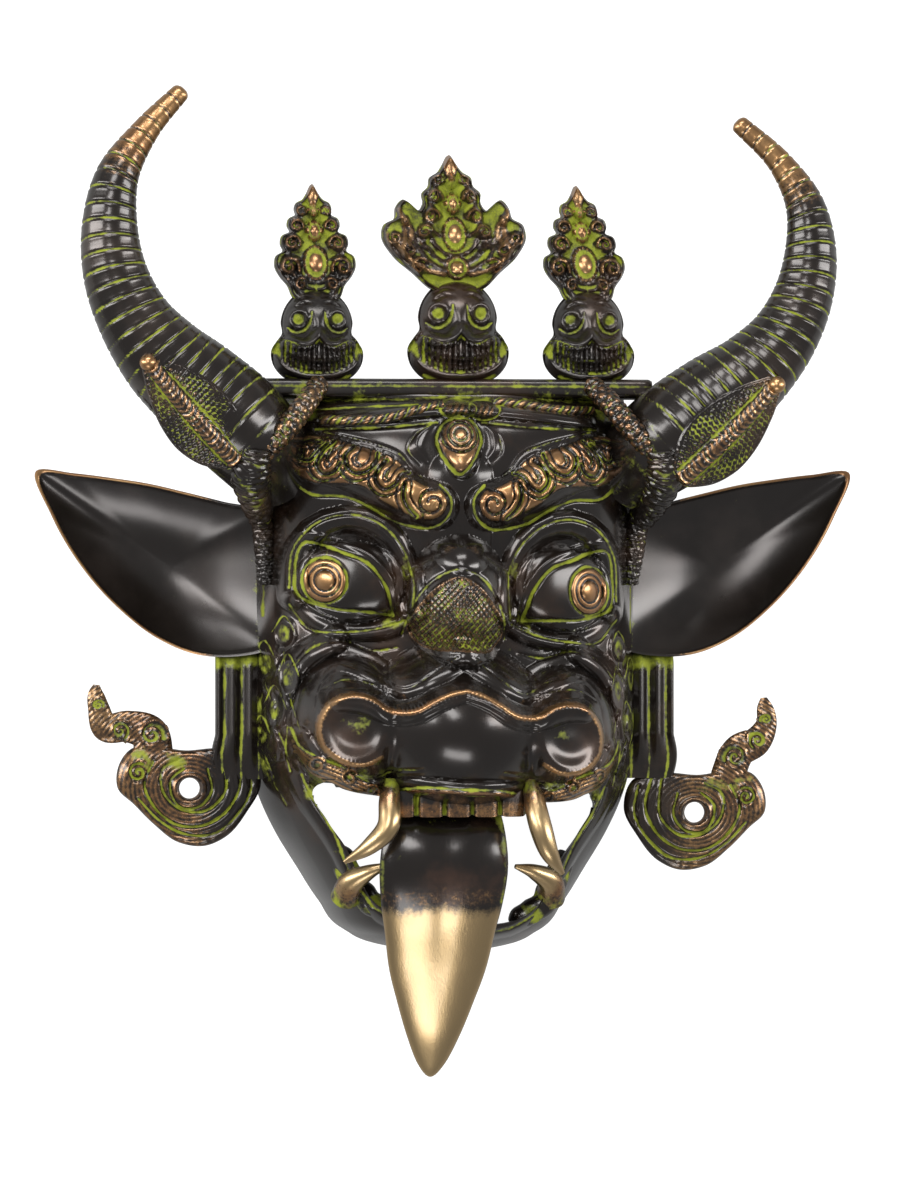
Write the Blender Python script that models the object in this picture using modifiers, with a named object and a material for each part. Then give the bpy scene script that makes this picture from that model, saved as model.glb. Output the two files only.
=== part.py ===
"""A bull-faced protector mask, cast in brass as one hollow shell, lying on its back rim.

Metres, +Z out of the face, +Y towards the crown, +X to the viewer's right. The origin is under the
middle of the whole mask, on the surface that it lies on. The carving of the free forms is drawn on
each form's own grid of design units and stretched to that form's driving sizes.
"""

import math

import bmesh
import bpy
import numpy as np

# The face shell
FACE_WIDTH = 0.196
FACE_HEIGHT = 0.284
FACE_DEPTH = 0.104
FACE_WALL = 0.004
CHIN_DROP = 0.184
FACE_TRIANGLES = 1980
CAVITY_TRIANGLES = 560

# The crown that stands on the face
RAIL_HEIGHT = 0.010
RAIL_DEPTH = 0.024
RAIL_LENGTH = 0.198
MIDDLE_SKULL_HEIGHT = 0.052
SIDE_SKULL_HEIGHT = 0.047
SKULL_SPACING = 0.068
MIDDLE_SKULL_SHIFT = 0.0025
MIDDLE_CREST_HEIGHT = 0.063
SIDE_CREST_HEIGHT = 0.052
CROWN_LEAN = 0.16

# Horns with their snakes
HORNS_WIDTH = 0.346
HORN_RADIUS = 0.0255
HORN_RINGS = 11
HOOD_LENGTH = 0.070
HOOD_WIDTH = 0.037
HOOD_RISE = 0.004
SNAKE_RADIUS = 0.0046

# Ears
EAR_LENGTH = 0.118
EAR_WALL = 0.003
EAR_CUP = 0.016

# Ribbons that end in cloud scrolls
RIBBON_WIDTH = 0.026
RIBBON_THICKNESS = 0.008
SCROLL_WIDTH = 0.072
SCROLL_HOLE_RADIUS = 0.0052

# Mouth
TOOTH_WIDTH = 0.0138
TOOTH_HEIGHT = 0.010
TOOTH_THICKNESS = 0.0075
TOOTH_COUNT = 5
FANG_RADIUS = 0.0056
TONGUE_LENGTH = 0.143
TONGUE_WIDTH = 0.064
TONGUE_THICKNESS = 0.013
TONGUE_GROOVE = 0.0012

# The design grid of the face, in units of which these sizes hold the numbers named
GRID_HALF_WIDTH = 98.0
GRID_HEIGHT = 284.0
GRID_DEPTH = 104.0
GRID_CROWN = 100.0
GRID_CHIN = GRID_CROWN - GRID_HEIGHT
X_UNIT = FACE_WIDTH / 2 / GRID_HALF_WIDTH
Y_UNIT = FACE_HEIGHT / GRID_HEIGHT
Z_UNIT = FACE_DEPTH / GRID_DEPTH
CHIN_Y = -CHIN_DROP

# The left and right of the face, as the hand-made wax leaned: the lower face drops towards +X
LEAN_FULL = 0.046
LEAN_TOP = 70.0
LEAN_RUN = 80.0

# Points of the joined casting nearer to each other than this are one point
WELD_DISTANCE = 0.00005

SIDES = (-1, 1)
SIDE_NAMES = {-1: "left", 1: "right"}


# Curves and reliefs on the design grid


def smooth_curve(at, knots, values):
    """A smooth curve through (knot, value) pairs, read at the numbers in at."""
    knots = np.asarray(knots, float)
    values = np.asarray(values, float)
    slopes = np.gradient(values, knots)
    at = np.clip(at, knots[0], knots[-1])
    k = np.clip(np.searchsorted(knots, at, side="right") - 1, 0, len(knots) - 2)
    step = knots[k + 1] - knots[k]
    t = (at - knots[k]) / step
    start, end = values[k], values[k + 1]
    rise, fall = slopes[k] * step, slopes[k + 1] * step
    return (
        start
        + t * rise
        + t**2 * (3 * (end - start) - 2 * rise - fall)
        + t**3 * (2 * (start - end) + rise + fall)
    )


def smooth_path(points, count):
    """count rows read evenly along a smooth curve through the rows of points."""
    points = np.asarray(points, float)
    steps = np.linalg.norm(np.diff(points[:, :2], axis=0), axis=1)
    along = np.concatenate([[0.0], np.cumsum(steps)])
    at = np.linspace(0.0, along[-1], count)
    return np.stack([smooth_curve(at, along, column) for column in points.T], axis=1)


def dome(x, y, centre, radii, height, power=0.7):
    """A round swelling over an ellipse."""
    reach = ((x - centre[0]) / radii[0]) ** 2 + ((y - centre[1]) / radii[1]) ** 2
    return height * np.clip(1.0 - reach, 0.0, 1.0) ** power


def swell(x, y, centre, radii, height):
    """A soft swelling with no edge."""
    reach = ((x - centre[0]) / radii[0]) ** 2 + ((y - centre[1]) / radii[1]) ** 2
    return height * np.exp(-reach)


def distance_to_path(x, y, path):
    """The distance to a run of straight steps, and how far along it the nearest point is, from 0 to 1."""
    nearest = np.full(np.shape(x), np.inf)
    share = np.zeros(np.shape(x))
    count = len(path) - 1
    for k in range(count):
        start, step = path[k], path[k + 1] - path[k]
        t = ((x - start[0]) * step[0] + (y - start[1]) * step[1]) / (step @ step)
        t = np.clip(t, 0.0, 1.0)
        gap = np.hypot(x - start[0] - t * step[0], y - start[1] - t * step[1])
        closer = gap < nearest
        nearest = np.where(closer, gap, nearest)
        share = np.where(closer, (k + t) / count, share)
    return nearest, share


def roll(x, y, points, radius, height, steps=14):
    """A rounded roll of metal laid along a smooth path."""
    gap, _ = distance_to_path(x, y, smooth_path(points, steps))
    return height * np.clip(1.0 - (gap / radius) ** 2, 0.0, 1.0) ** 0.8


def blended_max(a, b, width):
    """The larger of two heights, rounded where they meet."""
    share = np.clip(0.5 + 0.5 * (a - b) / width, 0.0, 1.0)
    return b + (a - b) * share + width * share * (1.0 - share)


# The face


def half_width(y):
    """Half the width of the face at each height, in design units."""
    return smooth_curve(
        y,
        (-184, -182, -175, -160, -143, -125, -105, -80, -40, 0, 60, 84, 100),
        (22, 33, 49, 62, 73, 84, 93, 98, 98, 98, 98, 95, 92),
    )


def depth(y):
    """How far the middle of the face stands out before its features, in design units."""
    return smooth_curve(
        y,
        (-184, -176, -165, -150, -120, -80, -30, 0, 30, 60, 80, 88, 94, 100),
        (46, 66, 77, 80, 84, 86, 88, 92, 99, 102, 97, 90, 78, 76),
    )


def lean(x, y):
    """The height on the true, level design that lies at (x, y) on the leaning cast."""
    share = np.clip((LEAN_TOP - y) / LEAN_RUN, 0.0, 1.0)
    return y + x * LEAN_FULL * share


def eye_form(x, y):
    """The sunken socket with its ball and lids."""
    form = swell(x, y, (53, 3), (27, 25), -9.0)
    form = form + dome(x, y, (53, -1), (27, 21), 15.0)
    upper = [(80, -10), (80, 10), (68, 27), (52, 31), (36, 24), (26, 6), (24, -14)]
    lower = [(81, -12), (68, -22), (50, -26), (34, -24), (23, -18)]
    form = form + roll(x, y, upper, 7.0, 6.0)
    return form + roll(x, y, lower, 5.0, 4.0)


def brow_form(x, y):
    """The raised pad that carries the flame-shaped brow, and its curled inner end."""
    pad = roll(x, y, [(13, 38), (32, 45), (55, 57), (76, 63)], 12.0, 8.0)
    return np.maximum(pad, dome(x, y, (13.5, 39.5), (8.5, 8.5), 10.0, 0.5))


def muzzle_form(x, y):
    """The broad snout with two nostrils under one wavy ridge."""
    lobes = dome(x, y, (53, -73), (29, 35), 37.0, 0.6)
    middle = dome(x, y, (0, -70), (48, 42), 46.0, 0.6)
    form = blended_max(lobes, middle, 9.0)
    ridge = [(0, -52), (13, -57), (25, -64), (38, -65), (49, -61), (60, -60)]
    form = form + roll(x, y, ridge, 6.0, 4.0)
    ring, _ = distance_to_path(x, y, smooth_path([(53, -74), (53.5, -74)], 2))
    form = form + 3.5 * np.exp(-(((ring - 15.5) / 4.0) ** 2))
    form = form - 7.0 * np.exp(-((ring / 11.5) ** 4))
    snarl = [(0, -34), (16, -43), (30, -50), (46, -42), (64, -38), (76, -50), (80, -74)]
    return form + roll(x, y, snarl, 8.0, 4.5)


def lip_form(x, y):
    """The rolled upper lip, and the edge of the lower jaw."""
    upper = [(0, -104), (22, -103), (42, -104), (60, -101), (72, -93), (80, -80)]
    lower = [(80, -96), (74, -110), (64, -124), (55, -138), (48, -152), (34, -167), (0, -174)]
    return roll(x, y, upper, 7.0, 7.0) + roll(x, y, lower, 5.0, 4.0)


def cheek_form(x, y):
    """Cheek bags beside the snout and the locks of the mane behind them."""
    form = roll(x, y, [(60, -30), (78, -42), (86, -62), (87, -86)], 7.0, 6.0)
    for centre, radii in (((91, -44), (5, 8)), ((92, -66), (4, 11)), ((90, -86), (4, 10))):
        form = form + dome(x, y, centre, radii, 4.0)
    return form


def face_height(x, y):
    """The height of the face above the back rim, in design units, for any place on the grid."""
    across = np.abs(x)
    level = lean(x, y)
    share = np.clip(across / half_width(y), 0.0, 1.0)
    arch = (1.0 - share**3.2) ** (1 / 2.2)
    features = (
        eye_form(across, level)
        + brow_form(across, level)
        + muzzle_form(across, level)
        + lip_form(across, level)
        + cheek_form(across, level)
        + dome(across, level, (0, -9), (27, 33), 29.0)
        + roll(across, level, [(0, 52), (0, 20)], 16.0, 5.0)
        + dome(across, level, (0, 67), (10, 16), 6.0)
        + roll(across, level, [(0, 87), (30, 84), (66, 80)], 3.6, 4.0)
        + dome(across, level, (0, 85), (11, 6), 4.5)
    )
    edge = np.clip((1.0 - share) / 0.10, 0.0, 1.0)
    return depth(y) * arch + features * edge


def eroded(height, wall, inside, outside_height):
    """The height of a shell's inner side: a ball of the wall's size rolled under the outer side."""
    ring = np.linspace(0.0, 2 * math.pi, 12, endpoint=False)
    offsets = [(0.0, 0.0)]
    offsets += [(r * wall * math.cos(a), r * wall * math.sin(a)) for r in (0.5, 1.0) for a in ring]

    def inner(x, y):
        lowest = np.full(np.shape(x), np.inf)
        for dx, dy in offsets:
            drop = math.sqrt(max(wall**2 - dx**2 - dy**2, 0.0))
            here = np.where(inside(x + dx, y + dy), height(x + dx, y + dy), outside_height)
            lowest = np.minimum(lowest, here - drop)
        return np.maximum(lowest, outside_height)

    return inner


# Blender objects


def clear_scene():
    for old in list(bpy.data.objects):
        bpy.data.objects.remove(old)


def collection(name, hidden=False):
    made = bpy.data.collections.new(name)
    bpy.context.scene.collection.children.link(made)
    made.hide_render = hidden
    return made


def brass_material():
    """Brass under a dark polished patina."""
    made = bpy.data.materials.new("Patinated brass")
    made.use_nodes = True
    shader = made.node_tree.nodes["Principled BSDF"]
    shader.inputs["Base Color"].default_value = (0.045, 0.036, 0.030, 1.0)
    shader.inputs["Roughness"].default_value = 0.28
    shader.inputs["Metallic"].default_value = 0.85
    return made


def object_from(bm, name, home):
    mesh = bpy.data.meshes.new(name)
    bm.to_mesh(mesh)
    bm.free()
    made = bpy.data.objects.new(name, mesh)
    home.objects.link(made)
    return made


def as_helper(made):
    """Marks a piece that a Boolean joins or cuts, and that isn't a part by itself."""
    made.hide_render = True
    made.display_type = "WIRE"
    return made


def face_unit(x, y, z):
    """A point of the face's design grid, in metres."""
    return np.stack(
        np.broadcast_arrays(
            np.asarray(x, float) * X_UNIT,
            CHIN_Y + (np.asarray(y, float) - GRID_CHIN) * Y_UNIT,
            np.asarray(z, float) * Z_UNIT,
        ),
        axis=-1,
    )


def relief_body(name, home, columns, rows, width, low, high, height, floor):
    """A closed body that rises to height(x, y) over the outline width(y), from a flat base at floor."""
    fine = np.linspace(-1.0, 1.0, 401)
    inner_rows = np.linspace(low, high, rows - 1)
    y = np.concatenate([[low], inner_rows, [high]])
    x_fine = width(y)[:, None] * fine[None, :]
    z_fine = height(x_fine, np.repeat(y[:, None], len(fine), axis=1))
    steps = np.hypot(np.diff(x_fine, axis=1), 0.35 * np.diff(z_fine, axis=1))
    along = np.concatenate([np.zeros((len(y), 1)), np.cumsum(steps, axis=1)], axis=1)
    wanted = np.linspace(0.0, 1.0, columns + 1)
    x = np.array([np.interp(wanted * a[-1], a, row) for a, row in zip(along, x_fine)])
    z = height(x, np.repeat(y[:, None], columns + 1, axis=1))
    z[:, [0, -1]] = floor
    z[[0, -1], :] = floor

    bm = bmesh.new()
    bmesh.ops.create_grid(bm, x_segments=columns, y_segments=rows, size=1.0)
    for vert in bm.verts:
        column = round((vert.co.x + 1.0) / 2 * columns)
        row = round((vert.co.y + 1.0) / 2 * rows)
        vert.co = face_unit(x[row, column], y[row], z[row, column])
    bmesh.ops.remove_doubles(bm, verts=bm.verts, dist=1e-7)
    rim = [edge for edge in bm.edges if edge.is_boundary]
    bmesh.ops.holes_fill(bm, edges=rim, sides=0)
    bmesh.ops.recalc_face_normals(bm, faces=bm.faces)
    return object_from(bm, name, home)


def cushion(name, home, outline, rings, place, triangles):
    """A closed form over a star-shaped outline, from a UV sphere whose equator becomes the outline.

    place(u, v, share, front) gives the points. share runs from 0 in the middle to 1 at the outline,
    and front is 1 on the front skin, -1 on the back skin and 0 at the outline.
    """
    outline = np.asarray(outline, float)
    bm = bmesh.new()
    bmesh.ops.create_uvsphere(bm, u_segments=len(outline), v_segments=2 * rings, radius=1.0)
    co = np.array([vert.co for vert in bm.verts])
    turn = np.arctan2(co[:, 1], co[:, 0]) / (2 * math.pi) * len(outline)
    edge = outline[np.round(turn).astype(int) % len(outline)]
    share = np.clip(np.hypot(co[:, 0], co[:, 1]), 0.0, 1.0)
    points = place(edge[:, 0] * share, edge[:, 1] * share, share, np.sign(np.round(co[:, 2], 6)))
    for vert, point in zip(bm.verts, points):
        vert.co = point
    bmesh.ops.recalc_face_normals(bm, faces=bm.faces)
    made = object_from(bm, name, home)
    if triangles:
        decimated(made, triangles)
    return as_helper(made)


def both_sides(half):
    """A closed outline from its right half, given from the top to the bottom."""
    return [(x, y) for x, y in half] + [(-x, y) for x, y in reversed(half) if x > 0]


def tube(name, home, points, radii, sides=8):
    """A closed round tube along points, with its own radius at each."""
    curve = bpy.data.curves.new(name, "CURVE")
    curve.dimensions = "3D"
    curve.bevel_depth = max(radii)
    curve.bevel_resolution = sides // 2 - 2
    curve.use_fill_caps = True
    spline = curve.splines.new("POLY")
    spline.points.add(len(points) - 1)
    for point, place, radius in zip(spline.points, points, radii):
        point.co = (*place, 1.0)
        point.radius = radius / curve.bevel_depth
    return meshed(bpy.data.objects.new(name, curve), home)


def meshed(curve_object, home):
    """The mesh of a curve object, with its caps welded."""
    bpy.context.scene.collection.objects.link(curve_object)
    bpy.context.view_layer.update()
    graph = bpy.context.evaluated_depsgraph_get()
    mesh = bpy.data.meshes.new_from_object(curve_object.evaluated_get(graph))
    made = bpy.data.objects.new(curve_object.name + "_solid", mesh)
    made.matrix_world = curve_object.matrix_world
    home.objects.link(made)
    bpy.data.objects.remove(curve_object)
    bm = bmesh.new()
    bm.from_mesh(mesh)
    bmesh.ops.remove_doubles(bm, verts=bm.verts, dist=1e-6)
    bmesh.ops.recalc_face_normals(bm, faces=bm.faces)
    bm.to_mesh(mesh)
    bm.free()
    return made


def prism(name, home, outline, low, high):
    """A flat outline given thickness between two heights."""
    curve = bpy.data.curves.new(name, "CURVE")
    curve.dimensions = "2D"
    curve.fill_mode = "BOTH"
    curve.extrude = (high - low) / 2
    spline = curve.splines.new("POLY")
    spline.points.add(len(outline) - 1)
    for point, place in zip(spline.points, outline):
        point.co = (place[0], place[1], 0.0, 1.0)
    spline.use_cyclic_u = True
    flat = bpy.data.objects.new(name, curve)
    flat.location.z = (high + low) / 2
    return meshed(flat, home)


def decimated(made, triangles):
    """Merges faces where the surface is smooth, down to about this many triangles."""
    count = sum(len(face.vertices) - 2 for face in made.data.polygons)
    modifier = made.modifiers.new("Fewer faces", "DECIMATE")
    modifier.ratio = min(1.0, triangles / count)
    return made


def boolean(made, operation, other):
    modifier = made.modifiers.new(operation.title(), "BOOLEAN")
    modifier.operation = operation
    if isinstance(other, bpy.types.Collection):
        modifier.operand_type = "COLLECTION"
        modifier.collection = other
    else:
        modifier.object = other
    modifier.solver = "EXACT"
    weld = made.modifiers.new("Weld", "WELD")
    weld.merge_threshold = WELD_DISTANCE


# The sub-forms of the casting


def face(home):
    made = relief_body(
        "mask", home, 96, 110, half_width, GRID_CHIN, GRID_CROWN, face_height, 0.0
    )
    return decimated(made, FACE_TRIANGLES)


def face_cavity(home):
    """The hollow behind the face, one wall in from its outer side."""
    wall = FACE_WALL / min(X_UNIT, Y_UNIT, Z_UNIT)
    below = -3.0

    def inside(x, y):
        return (np.abs(x) < half_width(y)) & (y > GRID_CHIN) & (y < GRID_CROWN)

    def width(y):
        return half_width(y) - wall

    inner = eroded(face_height, wall, inside, below)
    made = relief_body(
        "face_cavity", home, 44, 48, width, GRID_CHIN + wall, GRID_CROWN - wall, inner, 2 * below
    )
    return as_helper(decimated(made, CAVITY_TRIANGLES))


def mouth_outline():
    half = [(36, -107), (57, -104), (66, -101), (70, -105), (63, -121)]
    half += [(54, -134), (48, -147), (41, -159), (30, -166), (12, -169)]
    whole = half + [(-x, y) for x, y in reversed(half)]
    return [face_unit(x, y - x * LEAN_FULL, 0.0)[:2] for x, y in whole]


def mouth_cutter(home):
    return as_helper(prism("mouth_cutter", home, mouth_outline(), -0.02, 2 * FACE_DEPTH))


def rail(home):
    """The bar along the top of the head that the skulls stand on."""
    bm = bmesh.new()
    bmesh.ops.create_cube(bm, size=1.0)
    crown = face_unit(0, GRID_CROWN, 68)
    for vert in bm.verts:
        vert.co.x = vert.co.x * RAIL_LENGTH
        vert.co.y = crown[1] + vert.co.y * RAIL_HEIGHT - 0.3 * RAIL_HEIGHT
        vert.co.z = crown[2] + vert.co.z * RAIL_DEPTH
    bmesh.ops.bevel(bm, geom=bm.edges[:], offset=0.2 * RAIL_HEIGHT, segments=2, affect="EDGES")
    as_helper(object_from(bm, "crown_rail", home))


def crown_point(x, y, z):
    """A point over the crown rail, leaning back as the crown does. Metres from the rail's middle top."""
    top = face_unit(0, GRID_CROWN, 68)
    return np.stack(np.broadcast_arrays(x, top[1] + y, top[2] + z - CROWN_LEAN * y), axis=-1)


def skull_surface(u, v):
    """The height of a skull's front on a grid where it is 1 tall and centred on its brow."""
    cranium = dome(u, v, (0, 0.13), (0.36, 0.36), 0.30, 0.5)
    jaw = dome(u, v, (0, -0.22), (0.46, 0.30), 0.30, 0.5)
    form = blended_max(cranium, jaw, 0.06)
    across = np.abs(u)
    form = form - 0.09 * np.exp(-(((across - 0.17) / 0.10) ** 2 + ((v - 0.10) / 0.10) ** 2))
    form = form + roll(across, v, [(0, 0.02), (0.12, -0.08), (0.30, -0.06), (0.44, -0.02)], 0.07, 0.07)
    smile = [(0, -0.30), (0.2, -0.27), (0.38, -0.16)]
    return form - roll(across, v, smile, 0.03, 0.05)


SKULL_HALF = (
    (0.0, 0.50),
    (0.18, 0.46),
    (0.31, 0.33),
    (0.37, 0.15),
    (0.36, 0.03),
    (0.41, -0.04),
    (0.47, -0.14),
    (0.46, -0.27),
    (0.37, -0.40),
    (0.20, -0.48),
    (0.0, -0.50),
)


def skull(name, home, x, height):
    def place(u, v, share, front):
        bulge = np.where(front > 0, skull_surface(u, v), -0.16 * (1 - share**2))
        bulge = np.where(front == 0, 0.03, bulge)
        return crown_point(x + u * height, (0.47 + v) * height, bulge * height)

    cushion(name, home, both_sides(SKULL_HALF), 12, place, 240)


SIDE_CREST_HALF = (
    (0.0, 1.00),
    (0.06, 0.90),
    (0.16, 0.80),
    (0.20, 0.73),
    (0.20, 0.68),
    (0.26, 0.62),
    (0.24, 0.56),
    (0.30, 0.48),
    (0.29, 0.42),
    (0.35, 0.34),
    (0.35, 0.20),
    (0.27, 0.08),
    (0.22, -0.04),
)
MIDDLE_CREST_HALF = (
    (0.0, 1.00),
    (0.06, 0.90),
    (0.16, 0.81),
    (0.20, 0.70),
    (0.235, 0.55),
    (0.39, 0.62),
    (0.50, 0.53),
    (0.54, 0.38),
    (0.48, 0.22),
    (0.33, 0.08),
    (0.20, -0.04),
)
CREST_MIDDLE = 0.33


def crest_surface(u, v, wings):
    """The scrolls and jewels on a crest's front, on a grid where the crest is 1 tall from its foot."""
    across = np.abs(u)
    form = 0.06 + np.zeros(np.shape(u))
    for level, size in ((0.16, 0.09), (0.40, 0.075), (0.58, 0.06), (0.72, 0.05)):
        form = form + dome(across, v, (0, level), (size * 0.8, size), 0.07, 0.5)
    for level, out in ((0.24, 0.25), (0.42, 0.19), (0.56, 0.15), (0.70, 0.11)):
        form = form + dome(across, v, (out, level), (0.07, 0.07), 0.05)
    if wings:
        wing = [(0.14, 0.10), (0.30, 0.20), (0.44, 0.34), (0.46, 0.48), (0.38, 0.52)]
        form = form + roll(across, v, wing, 0.08, 0.06)
    return form


def crest(name, home, x, foot, height, half, wings):
    outline = [(u, v - CREST_MIDDLE) for u, v in both_sides(half)]

    def place(u, v, share, front):
        v = v + CREST_MIDDLE
        bulge = np.where(front > 0, crest_surface(u, v, wings), -0.06)
        bulge = np.where(front == 0, 0.0, bulge)
        return crown_point(x + u * height, foot + v * height, bulge * height)

    cushion(name, home, outline, 8, place, 260)


def crown(home):
    rail(home)
    foot_share = 0.93
    for name, x, skull_height, crest_height, half in (
        ("left", -SKULL_SPACING, SIDE_SKULL_HEIGHT, SIDE_CREST_HEIGHT, SIDE_CREST_HALF),
        ("middle", MIDDLE_SKULL_SHIFT, MIDDLE_SKULL_HEIGHT, MIDDLE_CREST_HEIGHT, MIDDLE_CREST_HALF),
        ("right", SKULL_SPACING, SIDE_SKULL_HEIGHT, SIDE_CREST_HEIGHT, SIDE_CREST_HALF),
    ):
        skull(f"{name}_skull", home, x, skull_height)
        foot = foot_share * skull_height
        crest(f"{name}_crest", home, x, foot, crest_height, half, name == "middle")


# A horn's bend, on a grid whose unit is one thousandth of the span of the two horns
HORN_BENDS = {
    -1: [
        (-250, 160, 0, 1.00),
        (-300, 215, 40, 1.00),
        (-368, 275, 62, 0.97),
        (-420, 320, 78, 0.86),
        (-462, 372, 92, 0.72),
        (-492, 440, 104, 0.62),
        (-500, 510, 112, 0.53),
        (-490, 575, 118, 0.42),
        (-452, 638, 122, 0.27),
        (-396, 700, 124, 0.17),
    ],
    1: [
        (250, 160, 0, 1.00),
        (306, 208, 40, 1.00),
        (372, 262, 62, 0.94),
        (424, 304, 78, 0.80),
        (467, 354, 92, 0.67),
        (494, 414, 104, 0.58),
        (503, 476, 112, 0.50),
        (494, 540, 118, 0.38),
        (460, 598, 122, 0.25),
        (394, 660, 124, 0.17),
    ],
}


def horn_line(side, count):
    """Rows of x, y, z and radius along a horn, in metres."""
    root = face_unit(0, 0, 66)
    rows = np.array(HORN_BENDS[side], float)
    places = rows[:, :3] * HORNS_WIDTH / 1000 + root * (0, 1, 1)
    places[0, 0] = side * 0.88 * FACE_WIDTH / 2
    return smooth_path(np.column_stack([places, rows[:, 3] * HORN_RADIUS]), count)


def horn(side, home):
    """A horn with a groove between each ring and the next."""
    line = horn_line(side, 2 * HORN_RINGS + 2)
    groove = np.where(np.arange(len(line)) % 2 == 0, 1.0, 0.955)
    radii = line[:, 3] * groove
    as_helper(tube(f"{SIDE_NAMES[side]}_horn", home, line[:, :3], radii, sides=8))


# The middle of each snake's hood on the face's grid, and how its far end turns out and up
HOODS = {-1: ((-133, 85, 107), 48), 1: ((133, 76, 107), 46)}
HOOD_HALF = (
    (0.0, 1.00),
    (0.18, 0.97),
    (0.40, 0.80),
    (0.72, 0.45),
    (0.95, 0.05),
    (1.00, -0.25),
    (0.85, -0.60),
    (0.50, -0.88),
    (0.25, -1.00),
    (0.0, -1.02),
)


def hood(side, home):
    """The spread hood of a snake that lies over the lower side of a horn."""
    middle, rise_angle = HOODS[side]
    middle = face_unit(*middle)
    turn = math.radians(rise_angle)
    along = np.array((side * math.cos(turn), math.sin(turn), 0.16))
    along = along / np.linalg.norm(along)
    across = np.array((-side * math.sin(turn), math.cos(turn), 0.30))
    across = across / np.linalg.norm(across)
    out = np.cross(along, across) * side

    def place(u, v, share, front):
        ridge = (1 - share**2) + np.exp(-((u / 0.26) ** 2)) * (1 - share**4)
        rise = np.where(front > 0, HOOD_RISE * ridge, -3 * HOOD_RISE * (1 - share**4))
        return (
            middle
            + np.outer(v, along) * HOOD_LENGTH / 2
            + np.outer(u, across) * HOOD_WIDTH / 2
            + np.outer(rise, out)
        )

    cushion(f"{SIDE_NAMES[side]}_hood", home, both_sides(HOOD_HALF), 6, place, 120)


def snakes(side, home):
    """The snake's body, thick below the hood, and its two strands over the temple."""
    strands = {
        "neck": [(101, 68, 99, 1.7), (103, 56, 93, 2.0), (100, 43, 80, 1.6), (96, 32, 64, 1.0)],
        "rising": [(97, 64, 97, 0.9), (86, 76, 99, 1.0), (75, 90, 92, 1.0), (68, 99, 80, 0.9)],
        "tail": [(99, 48, 72, 1.0), (95, 34, 58, 1.0), (93, 16, 51, 0.9), (92, 0, 47, 0.6)],
    }
    for part, rows in strands.items():
        line = smooth_path([(side * x, y, z, r) for x, y, z, r in rows], 7)
        points = face_unit(line[:, 0], line[:, 1], line[:, 2])
        radii = line[:, 3] * SNAKE_RADIUS
        as_helper(tube(f"{SIDE_NAMES[side]}_snake_{part}", home, points, radii, sides=6))


EAR_OUTLINE = (
    (1.00, 0.43),
    (0.84, 0.42),
    (0.68, 0.40),
    (0.52, 0.375),
    (0.37, 0.34),
    (0.21, 0.30),
    (0.02, 0.25),
    (-0.05, 0.0),
    (0.0, -0.32),
    (0.17, -0.36),
    (0.32, -0.35),
    (0.48, -0.285),
    (0.65, -0.155),
    (0.82, 0.04),
    (0.935, 0.24),
)
EAR_MIDDLE = (0.42, 0.02)


def ear(side, home):
    """A leaf-shaped cup that opens forwards."""
    root = face_unit(side * 88, 6, 34)
    outline = np.array(EAR_OUTLINE) - EAR_MIDDLE

    def place(u, v, share, front):
        cup = EAR_CUP * (1 - share**2)
        skin = EAR_WALL * np.where(front > 0, 0.0, np.where(front < 0, 1.0, 0.5))
        x = root[0] + side * (u + EAR_MIDDLE[0]) * EAR_LENGTH
        y = root[1] + (v + EAR_MIDDLE[1]) * EAR_LENGTH
        return np.stack([x, y, root[2] - EAR_CUP / 2 * u - cup - skin], axis=-1)

    cushion(f"{SIDE_NAMES[side]}_ear", home, outline, 5, place, 220)


def ribbon(side, home):
    """The fluted ribbon that hangs behind the ear."""
    top = face_unit(side * 92, -28, 30)
    foot = face_unit(side * 92, -98, 30)
    bm = bmesh.new()
    bmesh.ops.create_grid(bm, x_segments=6, y_segments=2, size=0.5)
    for vert in bm.verts:
        fold = 0.15 * RIBBON_THICKNESS * math.cos(6 * math.pi * (vert.co.x + 0.5))
        x = top[0] + side * (vert.co.x + 0.5) * RIBBON_WIDTH
        y = foot[1] + (vert.co.y + 0.5) * (top[1] - foot[1])
        vert.co = (x, y, top[2] + fold)
    bmesh.ops.recalc_face_normals(bm, faces=bm.faces)
    made = as_helper(object_from(bm, f"{SIDE_NAMES[side]}_ribbon", home))
    solid = made.modifiers.new("Thickness", "SOLIDIFY")
    solid.thickness = RIBBON_THICKNESS
    solid.offset = 0.0


# The scroll's outline around its hole, and the spine and half-width of its tail, in mm
SCROLL_OUTLINE = (
    (36, 10),
    (29, 20),
    (18, 21),
    (2, 19),
    (-14, 20),
    (-32, 16),
    (-36, 2),
    (-29, -12),
    (-19, -24),
    (-8, -29),
    (6, -27),
    (18, -18),
    (28, -8),
    (36, 0),
)
SCROLL_TAILS = {
    -1: (
        (17, 4, 12),
        (18, 17, 10),
        (20, 27, 9.5),
        (31, 31, 8),
        (42, 30.5, 7),
        (45.5, 40, 5.5),
        (47, 49, 3.6),
    ),
    1: (
        (17, 4, 11),
        (18, 20, 9),
        (23, 31, 8.5),
        (32, 36, 7.5),
        (37, 45, 5.4),
        (36, 55, 3.6),
    ),
}
SCROLL_GRID_WIDTH = 72.0
SCROLL_UNIT = SCROLL_WIDTH / SCROLL_GRID_WIDTH
SCROLL_HOLES = {-1: (-129, -102.5, 27), 1: (127, -115.5, 27)}


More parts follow.
